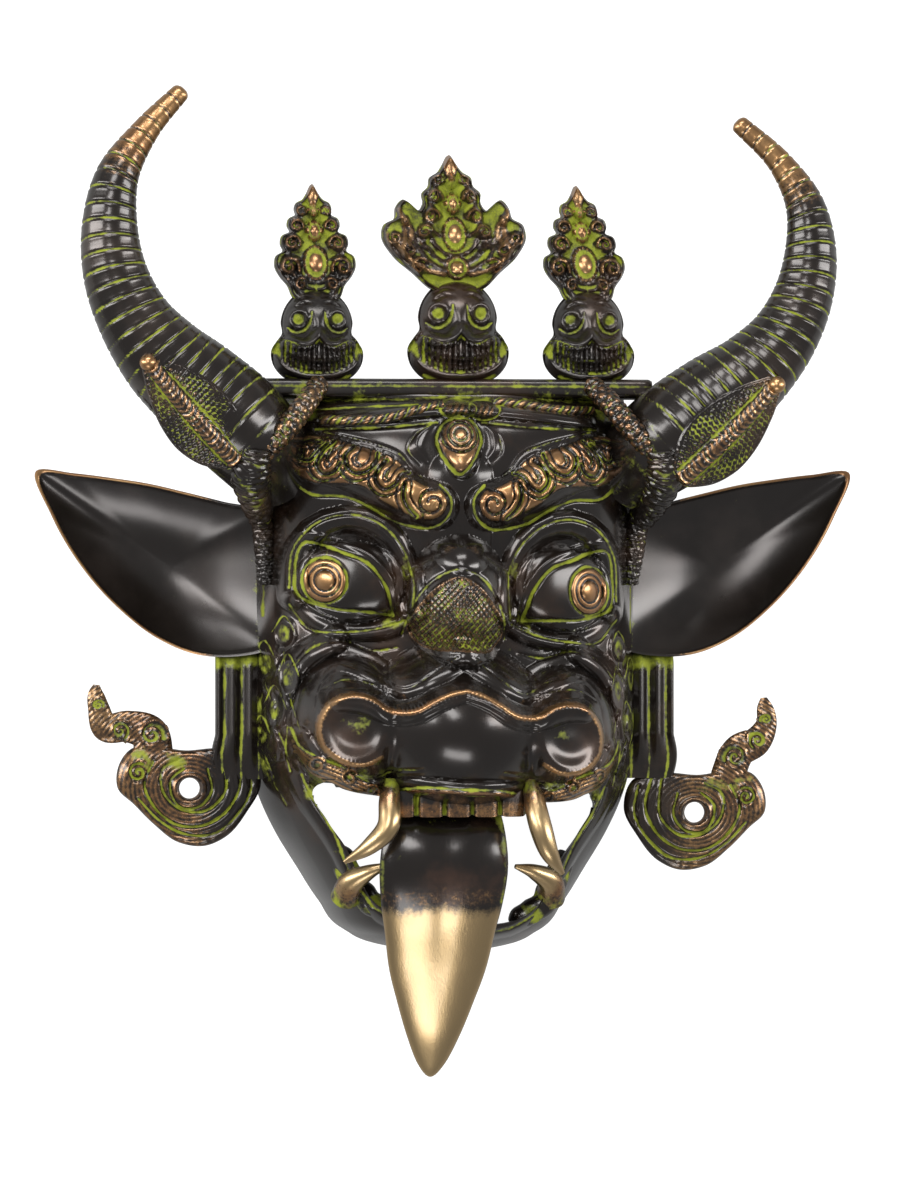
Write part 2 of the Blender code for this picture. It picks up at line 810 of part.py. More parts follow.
def scroll(side, home, cutters):
    """A flat cloud scroll with a hole through it, and the tail that curls up from it."""
    centre = face_unit(*SCROLL_HOLES[side])

    def place(u, v, share, front):
        ring = np.hypot(u, v)
        ridge = np.cos(2 * math.pi * ring / 8.0) * (1 - share**2) / 9
        rise = RIBBON_THICKNESS * np.where(front > 0, 0.5 + ridge, -0.5)
        rise = rise * np.sqrt(np.clip(1.0 - share**6, 0.0, 1.0))
        x = centre[0] + side * u * SCROLL_UNIT
        return np.stack([x, centre[1] + v * SCROLL_UNIT, centre[2] + rise], axis=-1)

    cushion(f"{SIDE_NAMES[side]}_scroll", home, SCROLL_OUTLINE, 9, place, 210)

    line = smooth_path(SCROLL_TAILS[side], 11) * SCROLL_UNIT
    level = np.zeros(len(line))
    points = np.column_stack([centre[0] + side * line[:, 0], centre[1] + line[:, 1], level])
    tail = tube(f"{SIDE_NAMES[side]}_scroll_tail", home, points, line[:, 2], sides=6)
    flat = 0.46 * RIBBON_THICKNESS / line[:, 2].max()
    for vert in tail.data.vertices:
        vert.co.z = vert.co.z * flat + centre[2]
    as_helper(tail)

    bm = bmesh.new()
    bmesh.ops.create_cone(
        bm,
        cap_ends=True,
        segments=14,
        radius1=SCROLL_HOLE_RADIUS,
        radius2=SCROLL_HOLE_RADIUS,
        depth=6 * RIBBON_THICKNESS,
    )
    bmesh.ops.translate(bm, vec=centre, verts=bm.verts)
    as_helper(object_from(bm, f"{SIDE_NAMES[side]}_scroll_hole", cutters))


def teeth(home):
    """The row of upper teeth, one bent plate with a notch between each and the next."""
    middle = face_unit(-1, -107, 100)
    steps = 4
    bm = bmesh.new()
    bmesh.ops.create_grid(bm, x_segments=steps * TOOTH_COUNT, y_segments=2, size=0.5)
    for vert in bm.verts:
        across = vert.co.x + 0.5
        in_tooth = (across * TOOTH_COUNT) % 1.0
        round_off = abs(2 * in_tooth - 1.0) ** 3
        lower = 0.5 - vert.co.y
        x = middle[0] + vert.co.x * TOOTH_COUNT * TOOTH_WIDTH
        y = middle[1] - (lower - 0.3) * 1.6 * TOOTH_HEIGHT + 0.3 * TOOTH_HEIGHT * lower * round_off
        bend = 2.2 * vert.co.x**2 + 0.2 * round_off
        vert.co = (x, y, middle[2] - bend * TOOTH_HEIGHT)
    bmesh.ops.recalc_face_normals(bm, faces=bm.faces)
    made = as_helper(object_from(bm, "upper_teeth", home))
    solid = made.modifiers.new("Thickness", "SOLIDIFY")
    solid.thickness = TOOTH_THICKNESS
    solid.offset = 0.0


# The spine of each fang from its root to its tip on the face's grid, and its share of FANG_RADIUS
FANGS = {
    "upper_left_fang": (
        (-34, -98, 96, 0.80),
        (-35, -107, 101, 0.95),
        (-36, -119, 105, 1.00),
        (-45, -129, 104, 0.75),
        (-57, -137, 98, 0.20),
    ),
    "upper_right_fang": (
        (36, -98, 96, 0.80),
        (37, -108, 101, 0.95),
        (40, -122, 105, 1.00),
        (44, -133, 104, 0.80),
        (51, -143, 98, 0.25),
    ),
    "lower_left_fang": (
        (-54, -156, 66, 1.30),
        (-52, -149, 74, 1.15),
        (-44, -143, 82, 0.70),
        (-34, -139, 86, 0.20),
    ),
    "lower_right_fang": (
        (49, -157, 66, 1.30),
        (48, -149, 74, 1.15),
        (39, -143, 82, 0.70),
        (29, -140, 86, 0.20),
    ),
}


def fangs(home):
    for name, rows in FANGS.items():
        line = smooth_path(rows, 7)
        points = face_unit(line[:, 0], line[:, 1], line[:, 2])
        as_helper(tube(name, home, points, line[:, 3] * FANG_RADIUS, sides=6))
    for side in SIDES:
        rows = [(57, -132, 60), (51, -148, 63), (43, -160, 68), (28, -172, 70)]
        line = smooth_path([(side * x, y - side * 2, z) for x, y, z in rows], 7)
        points = face_unit(line[:, 0], line[:, 1], line[:, 2])
        radii = np.full(len(points), 1.15 * FANG_RADIUS)
        as_helper(tube(f"lower_{SIDE_NAMES[side]}_gum", home, points, radii, sides=6))


TONGUE_STATIONS = (0, 0.14, 0.25, 0.39, 0.47, 0.60, 0.73, 0.86, 0.95, 1.0)
TONGUE_WIDTHS = (0.80, 0.95, 1.0, 0.94, 0.87, 0.77, 0.60, 0.40, 0.22, 0.0)
TONGUE_RISES = (76, 88, 89, 83, 78, 71, 64, 57, 51, 48)
TONGUE_MIDDLE = 0.45


def tongue(home):
    """The tongue that hangs out over the chin, a little to the left."""
    root = face_unit(-6, -104, 0)
    half = [(w, TONGUE_MIDDLE - t) for t, w in zip(TONGUE_STATIONS, TONGUE_WIDTHS)]
    outline = both_sides([(0.0, TONGUE_MIDDLE + 0.02)] + half)

    def place(u, v, share, front):
        t = TONGUE_MIDDLE - v
        x = root[0] - 3.5 * X_UNIT * t + u * TONGUE_WIDTH / 2
        rise = smooth_curve(t, TONGUE_STATIONS, TONGUE_RISES) * Z_UNIT
        thick = TONGUE_THICKNESS * np.sqrt(np.clip(1 - share**2, 0.0, 1.0))
        groove = TONGUE_GROOVE * np.exp(-((u / 0.10) ** 2)) * (1 - share)
        rise = rise + np.where(front > 0, 0.6 * thick - groove, -0.4 * thick)
        return np.stack([x, root[1] - t * TONGUE_LENGTH, rise], axis=-1)

    cushion("tongue", home, outline, 4, place, None)


def main():
    clear_scene()
    parts = collection("Yamantaka mask")
    joined = collection("Joined to the face", hidden=True)
    in_mouth = collection("Joined in the mouth", hidden=True)
    cutters = collection("Cutters", hidden=True)

    mask = face(parts)
    mask.data.materials.append(brass_material())
    crown(joined)
    for side in SIDES:
        horn(side, joined)
        hood(side, joined)
        snakes(side, joined)
        ear(side, joined)
        ribbon(side, joined)
        scroll(side, joined, cutters)
    face_cavity(cutters)
    mouth_cutter(cutters)
    teeth(in_mouth)
    fangs(in_mouth)
    tongue(in_mouth)

    boolean(mask, "UNION", joined)
    boolean(mask, "DIFFERENCE", cutters)
    boolean(mask, "UNION", in_mouth)


main()
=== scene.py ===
# %% [markdown]
# # A bull-faced protector mask in cast brass
#
# The mask is one hollow casting: a wax model was carved, invested and cast, then the surface was
# chased, darkened with a patina, rubbed back on the ridges and polished bare on fangs and tongue.
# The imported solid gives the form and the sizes. This script puts a finely carved skin in its place,
# made of sheets of points whose heights are worked out by small functions, all in millimetres.

import math

import bmesh
import bpy
import numpy as np
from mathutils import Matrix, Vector


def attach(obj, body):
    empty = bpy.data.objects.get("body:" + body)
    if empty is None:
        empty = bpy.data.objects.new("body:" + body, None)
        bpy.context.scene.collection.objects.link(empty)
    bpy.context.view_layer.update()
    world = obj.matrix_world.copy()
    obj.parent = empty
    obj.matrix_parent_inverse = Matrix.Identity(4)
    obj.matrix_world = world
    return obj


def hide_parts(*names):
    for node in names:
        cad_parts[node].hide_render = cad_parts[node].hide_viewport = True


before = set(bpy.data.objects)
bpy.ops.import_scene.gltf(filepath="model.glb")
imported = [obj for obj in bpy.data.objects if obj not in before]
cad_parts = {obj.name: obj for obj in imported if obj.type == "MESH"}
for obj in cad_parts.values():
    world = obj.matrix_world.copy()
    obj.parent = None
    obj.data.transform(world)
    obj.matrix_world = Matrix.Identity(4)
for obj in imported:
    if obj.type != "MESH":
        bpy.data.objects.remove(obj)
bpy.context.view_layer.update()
MM = 0.001

# %% [markdown]
# ## The driving sizes
#
# A carver fixes a few sizes first and draws everything else inside them. They are the sizes of the
# solid, in millimetres, but for the skulls and crests, which are up to 2.5 mm taller here. The origin
# is under the middle of the mask, +Y runs to the crown and +Z out of the face.

# %% Driving sizes
FACE_WALL = 4.0
FACE_CROWN = 100.0
FACE_CHIN = -184.0
RAIL_TOP_DEPTH = 68.0
RAIL_HEIGHT = 10.0
RAIL_LENGTH = 198.0
MIDDLE_SKULL = 53.5
SIDE_SKULL = 48.5
SKULL_SPACING = 68.0
MIDDLE_CREST = 65.0
SIDE_CREST = 54.5
CROWN_LEAN = 0.16
HORN_SPAN = 346.0
HORN_RADIUS = 25.5
HOOD_LENGTH = 70.0
HOOD_WIDTH = 37.0
SNAKE_RADIUS = 4.6
EAR_LENGTH = 118.0
EAR_WALL = 3.0
EAR_CUP = 16.0
RIBBON_WIDTH = 26.0
RIBBON_THICKNESS = 8.0
SCROLL_HOLE_RADIUS = 5.2
TOOTH_WIDTH = 13.8
TOOTH_HEIGHT = 10.0
TOOTH_COUNT = 5
FANG_RADIUS = 5.6
TONGUE_LENGTH = 143.0
TONGUE_WIDTH = 64.0
TONGUE_THICKNESS = 13.0
SIDES = (-1, 1)
SIDE_NAMES = {-1: "Left", 1: "Right"}

# %% [markdown]
# ## Curves and swellings
#
# Carving is described by a few soft shapes: a smooth curve through chosen points, a dome, a swelling
# without an edge, and a roll of metal laid along a path. Adding their heights is quicker to adjust
# than sculpting, and it gives the same surface on every run.

# %% Curves


def unit(value):
    """The value, kept between 0 and 1."""
    return np.clip(value, 0.0, 1.0)


def mark(distance, width):
    """1 on a line, and fading out a few widths away from it."""
    return np.exp(-((distance / width) ** 2))


def smooth_curve(at, knots, values):
    """A smooth curve through (knot, value) pairs, read at the numbers in at."""
    knots = np.asarray(knots, float)
    values = np.asarray(values, float)
    slopes = np.gradient(values, knots)
    at = np.clip(at, knots[0], knots[-1])
    k = np.clip(np.searchsorted(knots, at, side="right") - 1, 0, len(knots) - 2)
    step = knots[k + 1] - knots[k]
    t = (at - knots[k]) / step
    start, end = values[k], values[k + 1]
    rise, fall = slopes[k] * step, slopes[k + 1] * step
    return (
        start
        + t * rise
        + t**2 * (3 * (end - start) - 2 * rise - fall)
        + t**3 * (2 * (start - end) + rise + fall)
    )


def smooth_path(points, count):
    """count rows read evenly along a smooth curve through the rows of points."""
    points = np.asarray(points, float)
    steps = np.linalg.norm(np.diff(points[:, :2], axis=0), axis=1)
    along = np.concatenate([[0.0], np.cumsum(steps)])
    at = np.linspace(0.0, along[-1], count)
    return np.stack([smooth_curve(at, along, column) for column in points.T], axis=1)


def smooth_loop(points, count):
    """count points read evenly along a closed smooth outline."""
    points = [tuple(point) for point in points]
    around = np.array(points[-3:] + points + points[:4], float)
    steps = np.linalg.norm(np.diff(around, axis=0), axis=1)
    along = np.concatenate([[0.0], np.cumsum(steps)])
    at = np.linspace(along[3], along[3 + len(points)], count, endpoint=False)
    return np.stack([smooth_curve(at, along, column) for column in around.T], axis=1)


def arc(centre, radius, start, end, count=12, squash=1.0):
    """Points along part of a circle, from one angle to another in degrees."""
    turn = np.radians(np.linspace(start, end, count))
    return np.column_stack(
        [centre[0] + radius * np.cos(turn), centre[1] + radius * squash * np.sin(turn)]
    )


def coil(centre, radius, start, turns, inner=0.12, count=26, squash=1.0):
    """Points along a spiral that winds in from its outer radius."""
    share = np.linspace(0.0, 1.0, count)
    turn = math.radians(start) + 2 * math.pi * turns * share
    reach = radius * (1.0 - (1.0 - inner) * share)
    return np.column_stack(
        [centre[0] + reach * np.cos(turn), centre[1] + reach * squash * np.sin(turn)]
    )


# %% Swellings


def dome(x, y, centre, radii, height, power=0.7):
    """A round swelling over an ellipse."""
    reach = ((x - centre[0]) / radii[0]) ** 2 + ((y - centre[1]) / radii[1]) ** 2
    return height * unit(1.0 - reach) ** power


def swell(x, y, centre, radii, height):
    """A soft swelling with no edge."""
    reach = ((x - centre[0]) / radii[0]) ** 2 + ((y - centre[1]) / radii[1]) ** 2
    return height * np.exp(-reach)


def distance_to_path(x, y, path):
    """The distance to a run of straight steps, and the share of the run at the nearest point."""
    nearest = np.full(np.shape(x), np.inf)
    share = np.zeros(np.shape(x))
    count = len(path) - 1
    for k in range(count):
        start, step = path[k], path[k + 1] - path[k]
        t = ((x - start[0]) * step[0] + (y - start[1]) * step[1]) / max(step @ step, 1e-9)
        t = unit(t)
        gap = np.hypot(x - start[0] - t * step[0], y - start[1] - t * step[1])
        closer = gap < nearest
        nearest = np.where(closer, gap, nearest)
        share = np.where(closer, (k + t) / count, share)
    return nearest, share


def roll(x, y, points, radius, height, steps=14):
    """A rounded roll of metal laid along a smooth path."""
    gap, _ = distance_to_path(x, y, smooth_path(points, steps))
    return height * unit(1.0 - (gap / radius) ** 2) ** 0.8


def inside_loop(x, y, loop):
    """True where a point lies inside a closed outline."""
    loop = np.asarray(loop, float)
    found = np.zeros(np.shape(x), bool)
    for (ax, ay), (bx, by) in zip(loop, np.roll(loop, -1, axis=0)):
        crosses = (ay > y) != (by > y)
        span = np.where(by == ay, 1e-9, by - ay)
        found ^= crosses & (x < (bx - ax) * (y - ay) / span + ax)
    return found


def blended_max(a, b, width):
    """The larger of two heights, rounded where they meet."""
    share = unit(0.5 + 0.5 * (a - b) / width)
    return b + (a - b) * share + width * share * (1.0 - share)


# %% [markdown]
# ## Chased lines and what they leave behind
#
# A chaser's line does two things. It cuts a groove or leaves a ridge, and it changes the finish:
# green lodges in the grooves and the ridges are rubbed to copper. The class below keeps the height
# and both marks together, so that colour always sits exactly on the carving that causes it.

# %% The chaser's tools


class Carving:
    """Heights, in millimetres, and finish marks from 0 to 1 over a grid of points."""

    def __init__(self, x, y):
        self.x, self.y = x, y
        self.height = np.zeros(np.shape(x))
        self.green = np.zeros(np.shape(x))
        self.copper = np.zeros(np.shape(x))

    def stroke(self, points, width, height=0.0, green=0.0, copper=0.0, steps=0, taper=0.0):
        """A groove where height is negative, or a ridge where it is positive."""
        path = smooth_path(points, steps or 3 * len(points))
        reach = 2.6 * width
        low, high = path[:, :2].min(axis=0) - reach, path[:, :2].max(axis=0) + reach
        near = (self.x > low[0]) & (self.x < high[0]) & (self.y > low[1]) & (self.y < high[1])
        if not near.any():
            return
        gap, share = distance_to_path(self.x[near], self.y[near], path[:, :2])
        narrow = 1.0 - taper * np.abs(2 * share - 1.0) ** 2
        line = mark(gap, width * narrow)
        self.height[near] += height * line * narrow
        if copper:
            self.green[near] *= 1.0 - line
            self.copper[near] = np.maximum(self.copper[near], copper * line)
        if green:
            self.copper[near] *= 1.0 - line
            self.green[near] = np.maximum(self.green[near], green * line)

    def wash(self, centre, radii, green=0.0, copper=0.0):
        """A soft patch of finish that no tool cut."""
        share = swell(self.x, self.y, centre, radii, 1.0)
        self.green = np.maximum(self.green, green * share)
        self.copper = np.maximum(self.copper, copper * share)

    def boss(self, centre, radius, height, green=0.7, copper=0.8, squash=1.0):
        """A bead or jewel, with green around its foot and copper on its top."""
        reach = np.hypot(self.x - centre[0], (self.y - centre[1]) / squash) / radius
        self.height += height * unit(1.0 - reach**2) ** 0.6
        self.green = np.maximum(self.green, green * mark(reach - 1.12, 0.22))
        on_top = unit((1.02 - reach) / 0.35)
        self.green *= 1.0 - on_top
        self.copper = np.maximum(self.copper, copper * on_top)

    def pad(self, outline, height, soft, copper=0.0, green=0.0):
        """A raised patch with rounded edges inside a closed outline."""
        loop = smooth_loop(outline, 80)
        loop = np.vstack([loop, loop[:1]])
        low, high = loop.min(axis=0), loop.max(axis=0)
        near = (self.x > low[0]) & (self.x < high[0]) & (self.y > low[1]) & (self.y < high[1])
        x, y = self.x[near], self.y[near]
        gap, _ = distance_to_path(x, y, loop)
        inside = np.where(inside_loop(x, y, loop), unit(gap / soft), 0.0)
        rise = np.sqrt(inside * (2.0 - inside))
        self.height[near] += height * rise
        self.copper[near] = np.maximum(self.copper[near], copper * rise)
        self.green[near] = np.maximum(self.green[near] * (1 - rise * (copper > 0)), green * rise)

    def curl(self, centre, radii, tail, height=2.4):
        """A glossy loop with a hollow middle, whose outer side runs down into a tail."""
        squash = radii[1] / radii[0]
        reach = np.hypot(self.x - centre[0], (self.y - centre[1]) / squash) / radii[0]
        self.height += height * mark(reach - 0.86, 0.24)
        self.height += 0.3 * height * unit(1.0 - reach**2)
        self.green = np.maximum(self.green, 0.52 * mark(reach - 0.30, 0.30))
        rim = [(centre[0] - radii[0], centre[1]), (centre[0], centre[1] + 1.14 * radii[1])]
        rim += [(centre[0] + radii[0], centre[1] + 0.1 * radii[1])]
        self.stroke(rim, 0.55, height=-0.9, green=0.66, steps=14, taper=0.7)
        foot = (centre[0] + 0.4 * radii[0], centre[1] - 0.8 * radii[1])
        self.stroke([foot, tail], 1.5, height=0.8 * height, steps=6, taper=0.6)
        side = [(foot[0] - 2.2, foot[1]), (tail[0] - 1.8, tail[1])]
        self.stroke(side, 0.5, height=-0.7, green=0.55, steps=6, taper=0.6)


# %% [markdown]
# ## Skins
#
# Every piece is a sheet of points, rows by columns, sewn into quads. A sheet can be wrapped round to
# a tube, and its first and last rows may run together to a point. The finish marks ride along as
# attributes on the points, which a material can read.

# %% Sheets into pieces
pieces = []
SHARP_ANGLE = math.radians(50)
WELD_DISTANCE = 2e-6


def fineness(full):
    """How many rows or rings a piece has: always the full count."""
    return full


def add_marks(mesh, marks):
    for name, values in marks.items():
        layer = mesh.attributes.new(name, "FLOAT", "POINT")
        layer.data.foreach_set("value", unit(values).ravel().astype(np.float32))


def sheet(name, points, marks, material, wrap=False, keep=None, weld=True, closed=False, flip=False):
    """A piece from an array of points, rows by columns by 3, in millimetres."""
    rows, columns = points.shape[:2]
    index = np.arange(rows * columns).reshape(rows, columns)
    if wrap:
        index = np.concatenate([index, index[:, :1]], axis=1)
    quads = np.stack([index[:-1, :-1], index[:-1, 1:], index[1:, 1:], index[1:, :-1]], axis=-1)
    if flip:
        quads = quads[..., ::-1]
    quads = quads.reshape(-1, 4)
    flat = points.reshape(-1, 3) * MM
    if keep is not None:
        quads = quads[keep(points.reshape(-1, 3)[quads].mean(axis=1))]
    mesh = bpy.data.meshes.new(name)
    mesh.vertices.add(len(flat))
    mesh.vertices.foreach_set("co", flat.astype(np.float32).ravel())
    mesh.loops.add(quads.size)
    mesh.loops.foreach_set("vertex_index", quads.ravel().astype(np.int32))
    mesh.polygons.add(len(quads))
    mesh.polygons.foreach_set("loop_start", np.arange(0, quads.size, 4, dtype=np.int32))
    mesh.update(calc_edges=True)
    add_marks(mesh, marks)
    if weld or closed or keep is not None:
        bm = bmesh.new()
        bm.from_mesh(mesh)
        bmesh.ops.delete(bm, geom=[v for v in bm.verts if not v.link_faces], context="VERTS")
        if weld:
            bmesh.ops.remove_doubles(bm, verts=bm.verts, dist=WELD_DISTANCE)
        if closed:
            bmesh.ops.holes_fill(bm, edges=[e for e in bm.edges if e.is_boundary], sides=0)
        bm.to_mesh(mesh)
        bm.free()
    mesh.shade_smooth()
    mesh.set_sharp_from_angle(angle=SHARP_ANGLE)
    mesh.materials.append(material)
    made = bpy.data.objects.new(name.lower().replace(" ", "_"), mesh)
    bpy.context.scene.collection.objects.link(made)
    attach(made, "root")
    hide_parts("mask")
    pieces.append(made)
    return made


def marks_of(carving):
    return {"green": carving.green, "copper": carving.copper}


def front_marks(carving, front):
    """The marks of a cushion that is carved on its front only."""
    return {"green": carving.green * (front > 0), "copper": carving.copper * (front > 0)}


def plain_marks(shape, green=0.0, copper=0.0):
    return {"green": np.full(shape, green), "copper": np.full(shape, copper)}


def tube(name, line, radii, material, sides=28, relief=None, marks=None, up=(0.0, 0.0, 1.0)):
    """A closed tube along rows of points. relief gives a height and marks from along, turn and place."""
    line = np.asarray(line, float)
    tangent = np.gradient(line, axis=0)
    tangent /= np.linalg.norm(tangent, axis=1)[:, None]
    across = np.cross(tangent, np.array(up))
    across /= np.linalg.norm(across, axis=1)[:, None]
    out = np.cross(across, tangent)
    turn = np.linspace(0.0, 2 * math.pi, sides, endpoint=False)
    steps = np.linalg.norm(np.diff(line, axis=0), axis=1)
    along = np.concatenate([[0.0], np.cumsum(steps)])
    grid_along, grid_turn = np.meshgrid(along, turn, indexing="ij")
    radius = np.repeat(np.asarray(radii, float)[:, None], sides, axis=1)
    found = plain_marks(radius.shape)
    if relief:
        spread = (radius * np.cos(grid_turn))[..., None] * across[:, None, :]
        height, found = relief(grid_along, grid_turn, radius, line[:, None, :] + spread)
        radius = radius + height
    if marks:
        found.update(marks)
    points = (
        line[:, None, :]
        + (radius * np.cos(grid_turn))[..., None] * across[:, None, :]
        + (radius * np.sin(grid_turn))[..., None] * out[:, None, :]
    )
    return sheet(name, points, found, material, wrap=True, closed=True)


def cushion_grid(outline, count, rings):
    """Rows of points from the middle of a front skin over the outline to the middle of its back."""
    edge = smooth_loop(outline, count)
    slant = np.linspace(0.0, math.pi, 2 * rings + 1)
    share = np.repeat(np.sin(slant)[:, None], count, axis=1)
    front = np.sign(np.round(np.cos(slant), 6))[:, None] * np.ones((1, count))
    return edge[None, :, 0] * share, edge[None, :, 1] * share, share, front


def both_sides(half):
    """A closed outline from its right half, given from the top to the bottom."""
    return [(x, y) for x, y in half] + [(-x, y) for x, y in reversed(half) if x > 0]


# %% [markdown]
# ## The finish
#
# Dark patina on brass is still metal under a thin skin, so the shader is mostly metallic with a dark
# base and a thin lacquer over it. One node group works out the colours for every material: patina
# with slow variation, rubbed copper on the ridges and powdery green in the grooves, both broken up by
# noise. A second group gives the surface its fine scratches and casting grain.

# %% Node groups
PATINA = (0.015, 0.0105, 0.0080, 1.0)
PATINA_WARM = (0.048, 0.025, 0.014, 1.0)
COPPER = (0.33, 0.165, 0.070, 1.0)
COPPER_LIGHT = (0.47, 0.27, 0.115, 1.0)
BRASS = (0.47, 0.330, 0.165, 1.0)
VERDIGRIS = (0.250, 0.285, 0.008, 1.0)
VERDIGRIS_DEEP = (0.060, 0.066, 0.006, 1.0)


def new_group(name, inputs, outputs):
    group = bpy.data.node_groups.new(name, "ShaderNodeTree")
    for label, kind, value in inputs:
        socket = group.interface.new_socket(label, in_out="INPUT", socket_type=kind)
        socket.default_value = value
    for label, kind in outputs:
        group.interface.new_socket(label, in_out="OUTPUT", socket_type=kind)
    return group, group.nodes.new("NodeGroupInput"), group.nodes.new("NodeGroupOutput")


def noise(tree, scale, detail=4.0, roughness=0.6):
    place = tree.nodes.new("ShaderNodeTexCoord")
    node = tree.nodes.new("ShaderNodeTexNoise")
    node.inputs["Scale"].default_value = scale
    node.inputs["Detail"].default_value = detail
    node.inputs["Roughness"].default_value = roughness
    tree.links.new(place.outputs["Object"], node.inputs["Vector"])
    return node.outputs["Fac"]


def maths(tree, operation, a, b, c=None, clamp=False):
    node = tree.nodes.new("ShaderNodeMath")
    node.operation = operation
    node.use_clamp = clamp
    for socket, value in zip(node.inputs, (a, b, c)):
        if isinstance(value, (int, float)):
            socket.default_value = value
        elif value is not None:
            tree.links.new(value, socket)
    return node.outputs[0]


def ramp(tree, value, low, high):
    """0 below low, 1 above high, and smooth between them."""
    node = tree.nodes.new("ShaderNodeMapRange")
    node.interpolation_type = "SMOOTHSTEP"
    node.inputs["From Min"].default_value = low
    node.inputs["From Max"].default_value = high
    tree.links.new(value, node.inputs["Value"])
    return node.outputs["Result"]


def blend(tree, share, first, second):
    """Mixes two colours, each a socket or four numbers."""
    node = tree.nodes.new("ShaderNodeMix")
    node.data_type = "RGBA"
    tree.links.new(share, node.inputs["Factor"])
    for socket, value in ((node.inputs[6], first), (node.inputs[7], second)):
        if isinstance(value, tuple):
            socket.default_value = value
        else:
            tree.links.new(value, socket)
    return node.outputs[2]


def build_finish_group():
    group, start, end = new_group(
        "Aged brass",
        [
            ("Green", "NodeSocketFloat", 0.0),
            ("Copper", "NodeSocketFloat", 0.0),
            ("Bare", "NodeSocketFloat", 0.0),
            ("Patina", "NodeSocketColor", PATINA),
            ("Warm patina", "NodeSocketColor", PATINA_WARM),
        ],
        [
            ("Color", "NodeSocketColor"),
            ("Metallic", "NodeSocketFloat"),
            ("Roughness", "NodeSocketFloat"),
            ("Lacquer", "NodeSocketFloat"),
        ],
    )
    slow = noise(group, 22.0, 5.0)
    fine = noise(group, 420.0, 3.0, 0.7)
    grain = noise(group, 1500.0, 2.0, 0.6)
    patches = noise(group, 110.0, 3.0, 0.6)
    warm = ramp(group, slow, 0.46, 0.70)
    patina = blend(group, warm, start.outputs["Patina"], start.outputs["Warm patina"])
    broken = maths(group, "MULTIPLY_ADD", fine, 0.9, -0.45)
    worn = maths(group, "ADD", start.outputs["Copper"], maths(group, "MULTIPLY", broken, 0.75))
    copper_mask = ramp(group, worn, 0.30, 0.72)
    dusty = maths(group, "ADD", start.outputs["Green"], maths(group, "MULTIPLY", broken, 0.65))
    dusty = maths(group, "ADD", dusty, maths(group, "MULTIPLY_ADD", patches, 1.3, -0.65))
    green_mask = ramp(group, dusty, 0.30, 0.72)
    bare_edge = maths(group, "ADD", start.outputs["Bare"], maths(group, "MULTIPLY", broken, 0.5))
    bare_mask = ramp(group, bare_edge, 0.25, 0.80)
    copper_tone = blend(group, ramp(group, slow, 0.35, 0.65), COPPER, COPPER_LIGHT)
    green_depth = maths(group, "MULTIPLY_ADD", patches, 0.9, maths(group, "MULTIPLY", grain, 0.5))
    green_tone = blend(group, ramp(group, green_depth, 0.45, 0.80), VERDIGRIS_DEEP, VERDIGRIS)
    color = blend(group, copper_mask, patina, copper_tone)
    color = blend(group, bare_mask, color, BRASS)
    color = blend(group, green_mask, color, green_tone)
    group.links.new(color, end.inputs["Color"])
    not_green = maths(group, "SUBTRACT", 1.0, green_mask)
    rubbed = maths(group, "MAXIMUM", copper_mask, bare_mask)
    metal = maths(group, "MULTIPLY_ADD", rubbed, 0.45, 0.55)
    group.links.new(maths(group, "MULTIPLY", metal, not_green), end.inputs["Metallic"])
    rough = maths(group, "MULTIPLY_ADD", slow, 0.16, 0.16)
    rough = maths(group, "MULTIPLY_ADD", rubbed, 0.08, rough)
    rough = maths(group, "MULTIPLY_ADD", green_mask, 0.55, rough, clamp=True)
    group.links.new(rough, end.inputs["Roughness"])
    group.links.new(maths(group, "MULTIPLY", not_green, 0.55), end.inputs["Lacquer"])
    return group


def build_surface_group():
    group, start, end = new_group(
        "Hand-finished surface",
        [("Scratches", "NodeSocketFloat", 0.35), ("Grain", "NodeSocketFloat", 0.3)],
        [("Height", "NodeSocketFloat")],
    )
    place = group.nodes.new("ShaderNodeTexCoord")
    stretch = group.nodes.new("ShaderNodeMapping")
    stretch.inputs["Scale"].default_value = (1.0, 0.06, 1.0)
    stretch.inputs["Rotation"].default_value = (0.0, 0.0, 0.5)
    group.links.new(place.outputs["Object"], stretch.inputs["Vector"])
    lines = group.nodes.new("ShaderNodeTexNoise")
    lines.inputs["Scale"].default_value = 1300.0
    lines.inputs["Detail"].default_value = 2.0
    group.links.new(stretch.outputs["Vector"], lines.inputs["Vector"])
    soft = noise(group, 160.0, 3.0)
    scratch = maths(group, "MULTIPLY", lines.outputs["Fac"], start.outputs["Scratches"])
    height = maths(group, "MULTIPLY_ADD", soft, start.outputs["Grain"], scratch)
    group.links.new(height, end.inputs["Height"])
    return group


finish_group = build_finish_group()
surface_group = build_surface_group()
print("node groups", [group.name for group in bpy.data.node_groups])

# %% [markdown]
# ## Materials
#
# Each part of the mask was polished to a different degree. The horns and the face are glossiest, the
# crown is full of green, and the fangs and the end of the tongue are bare. The marks on the points
# steer all of them, so one recipe with its own tones and gloss is enough.

# %% Materials


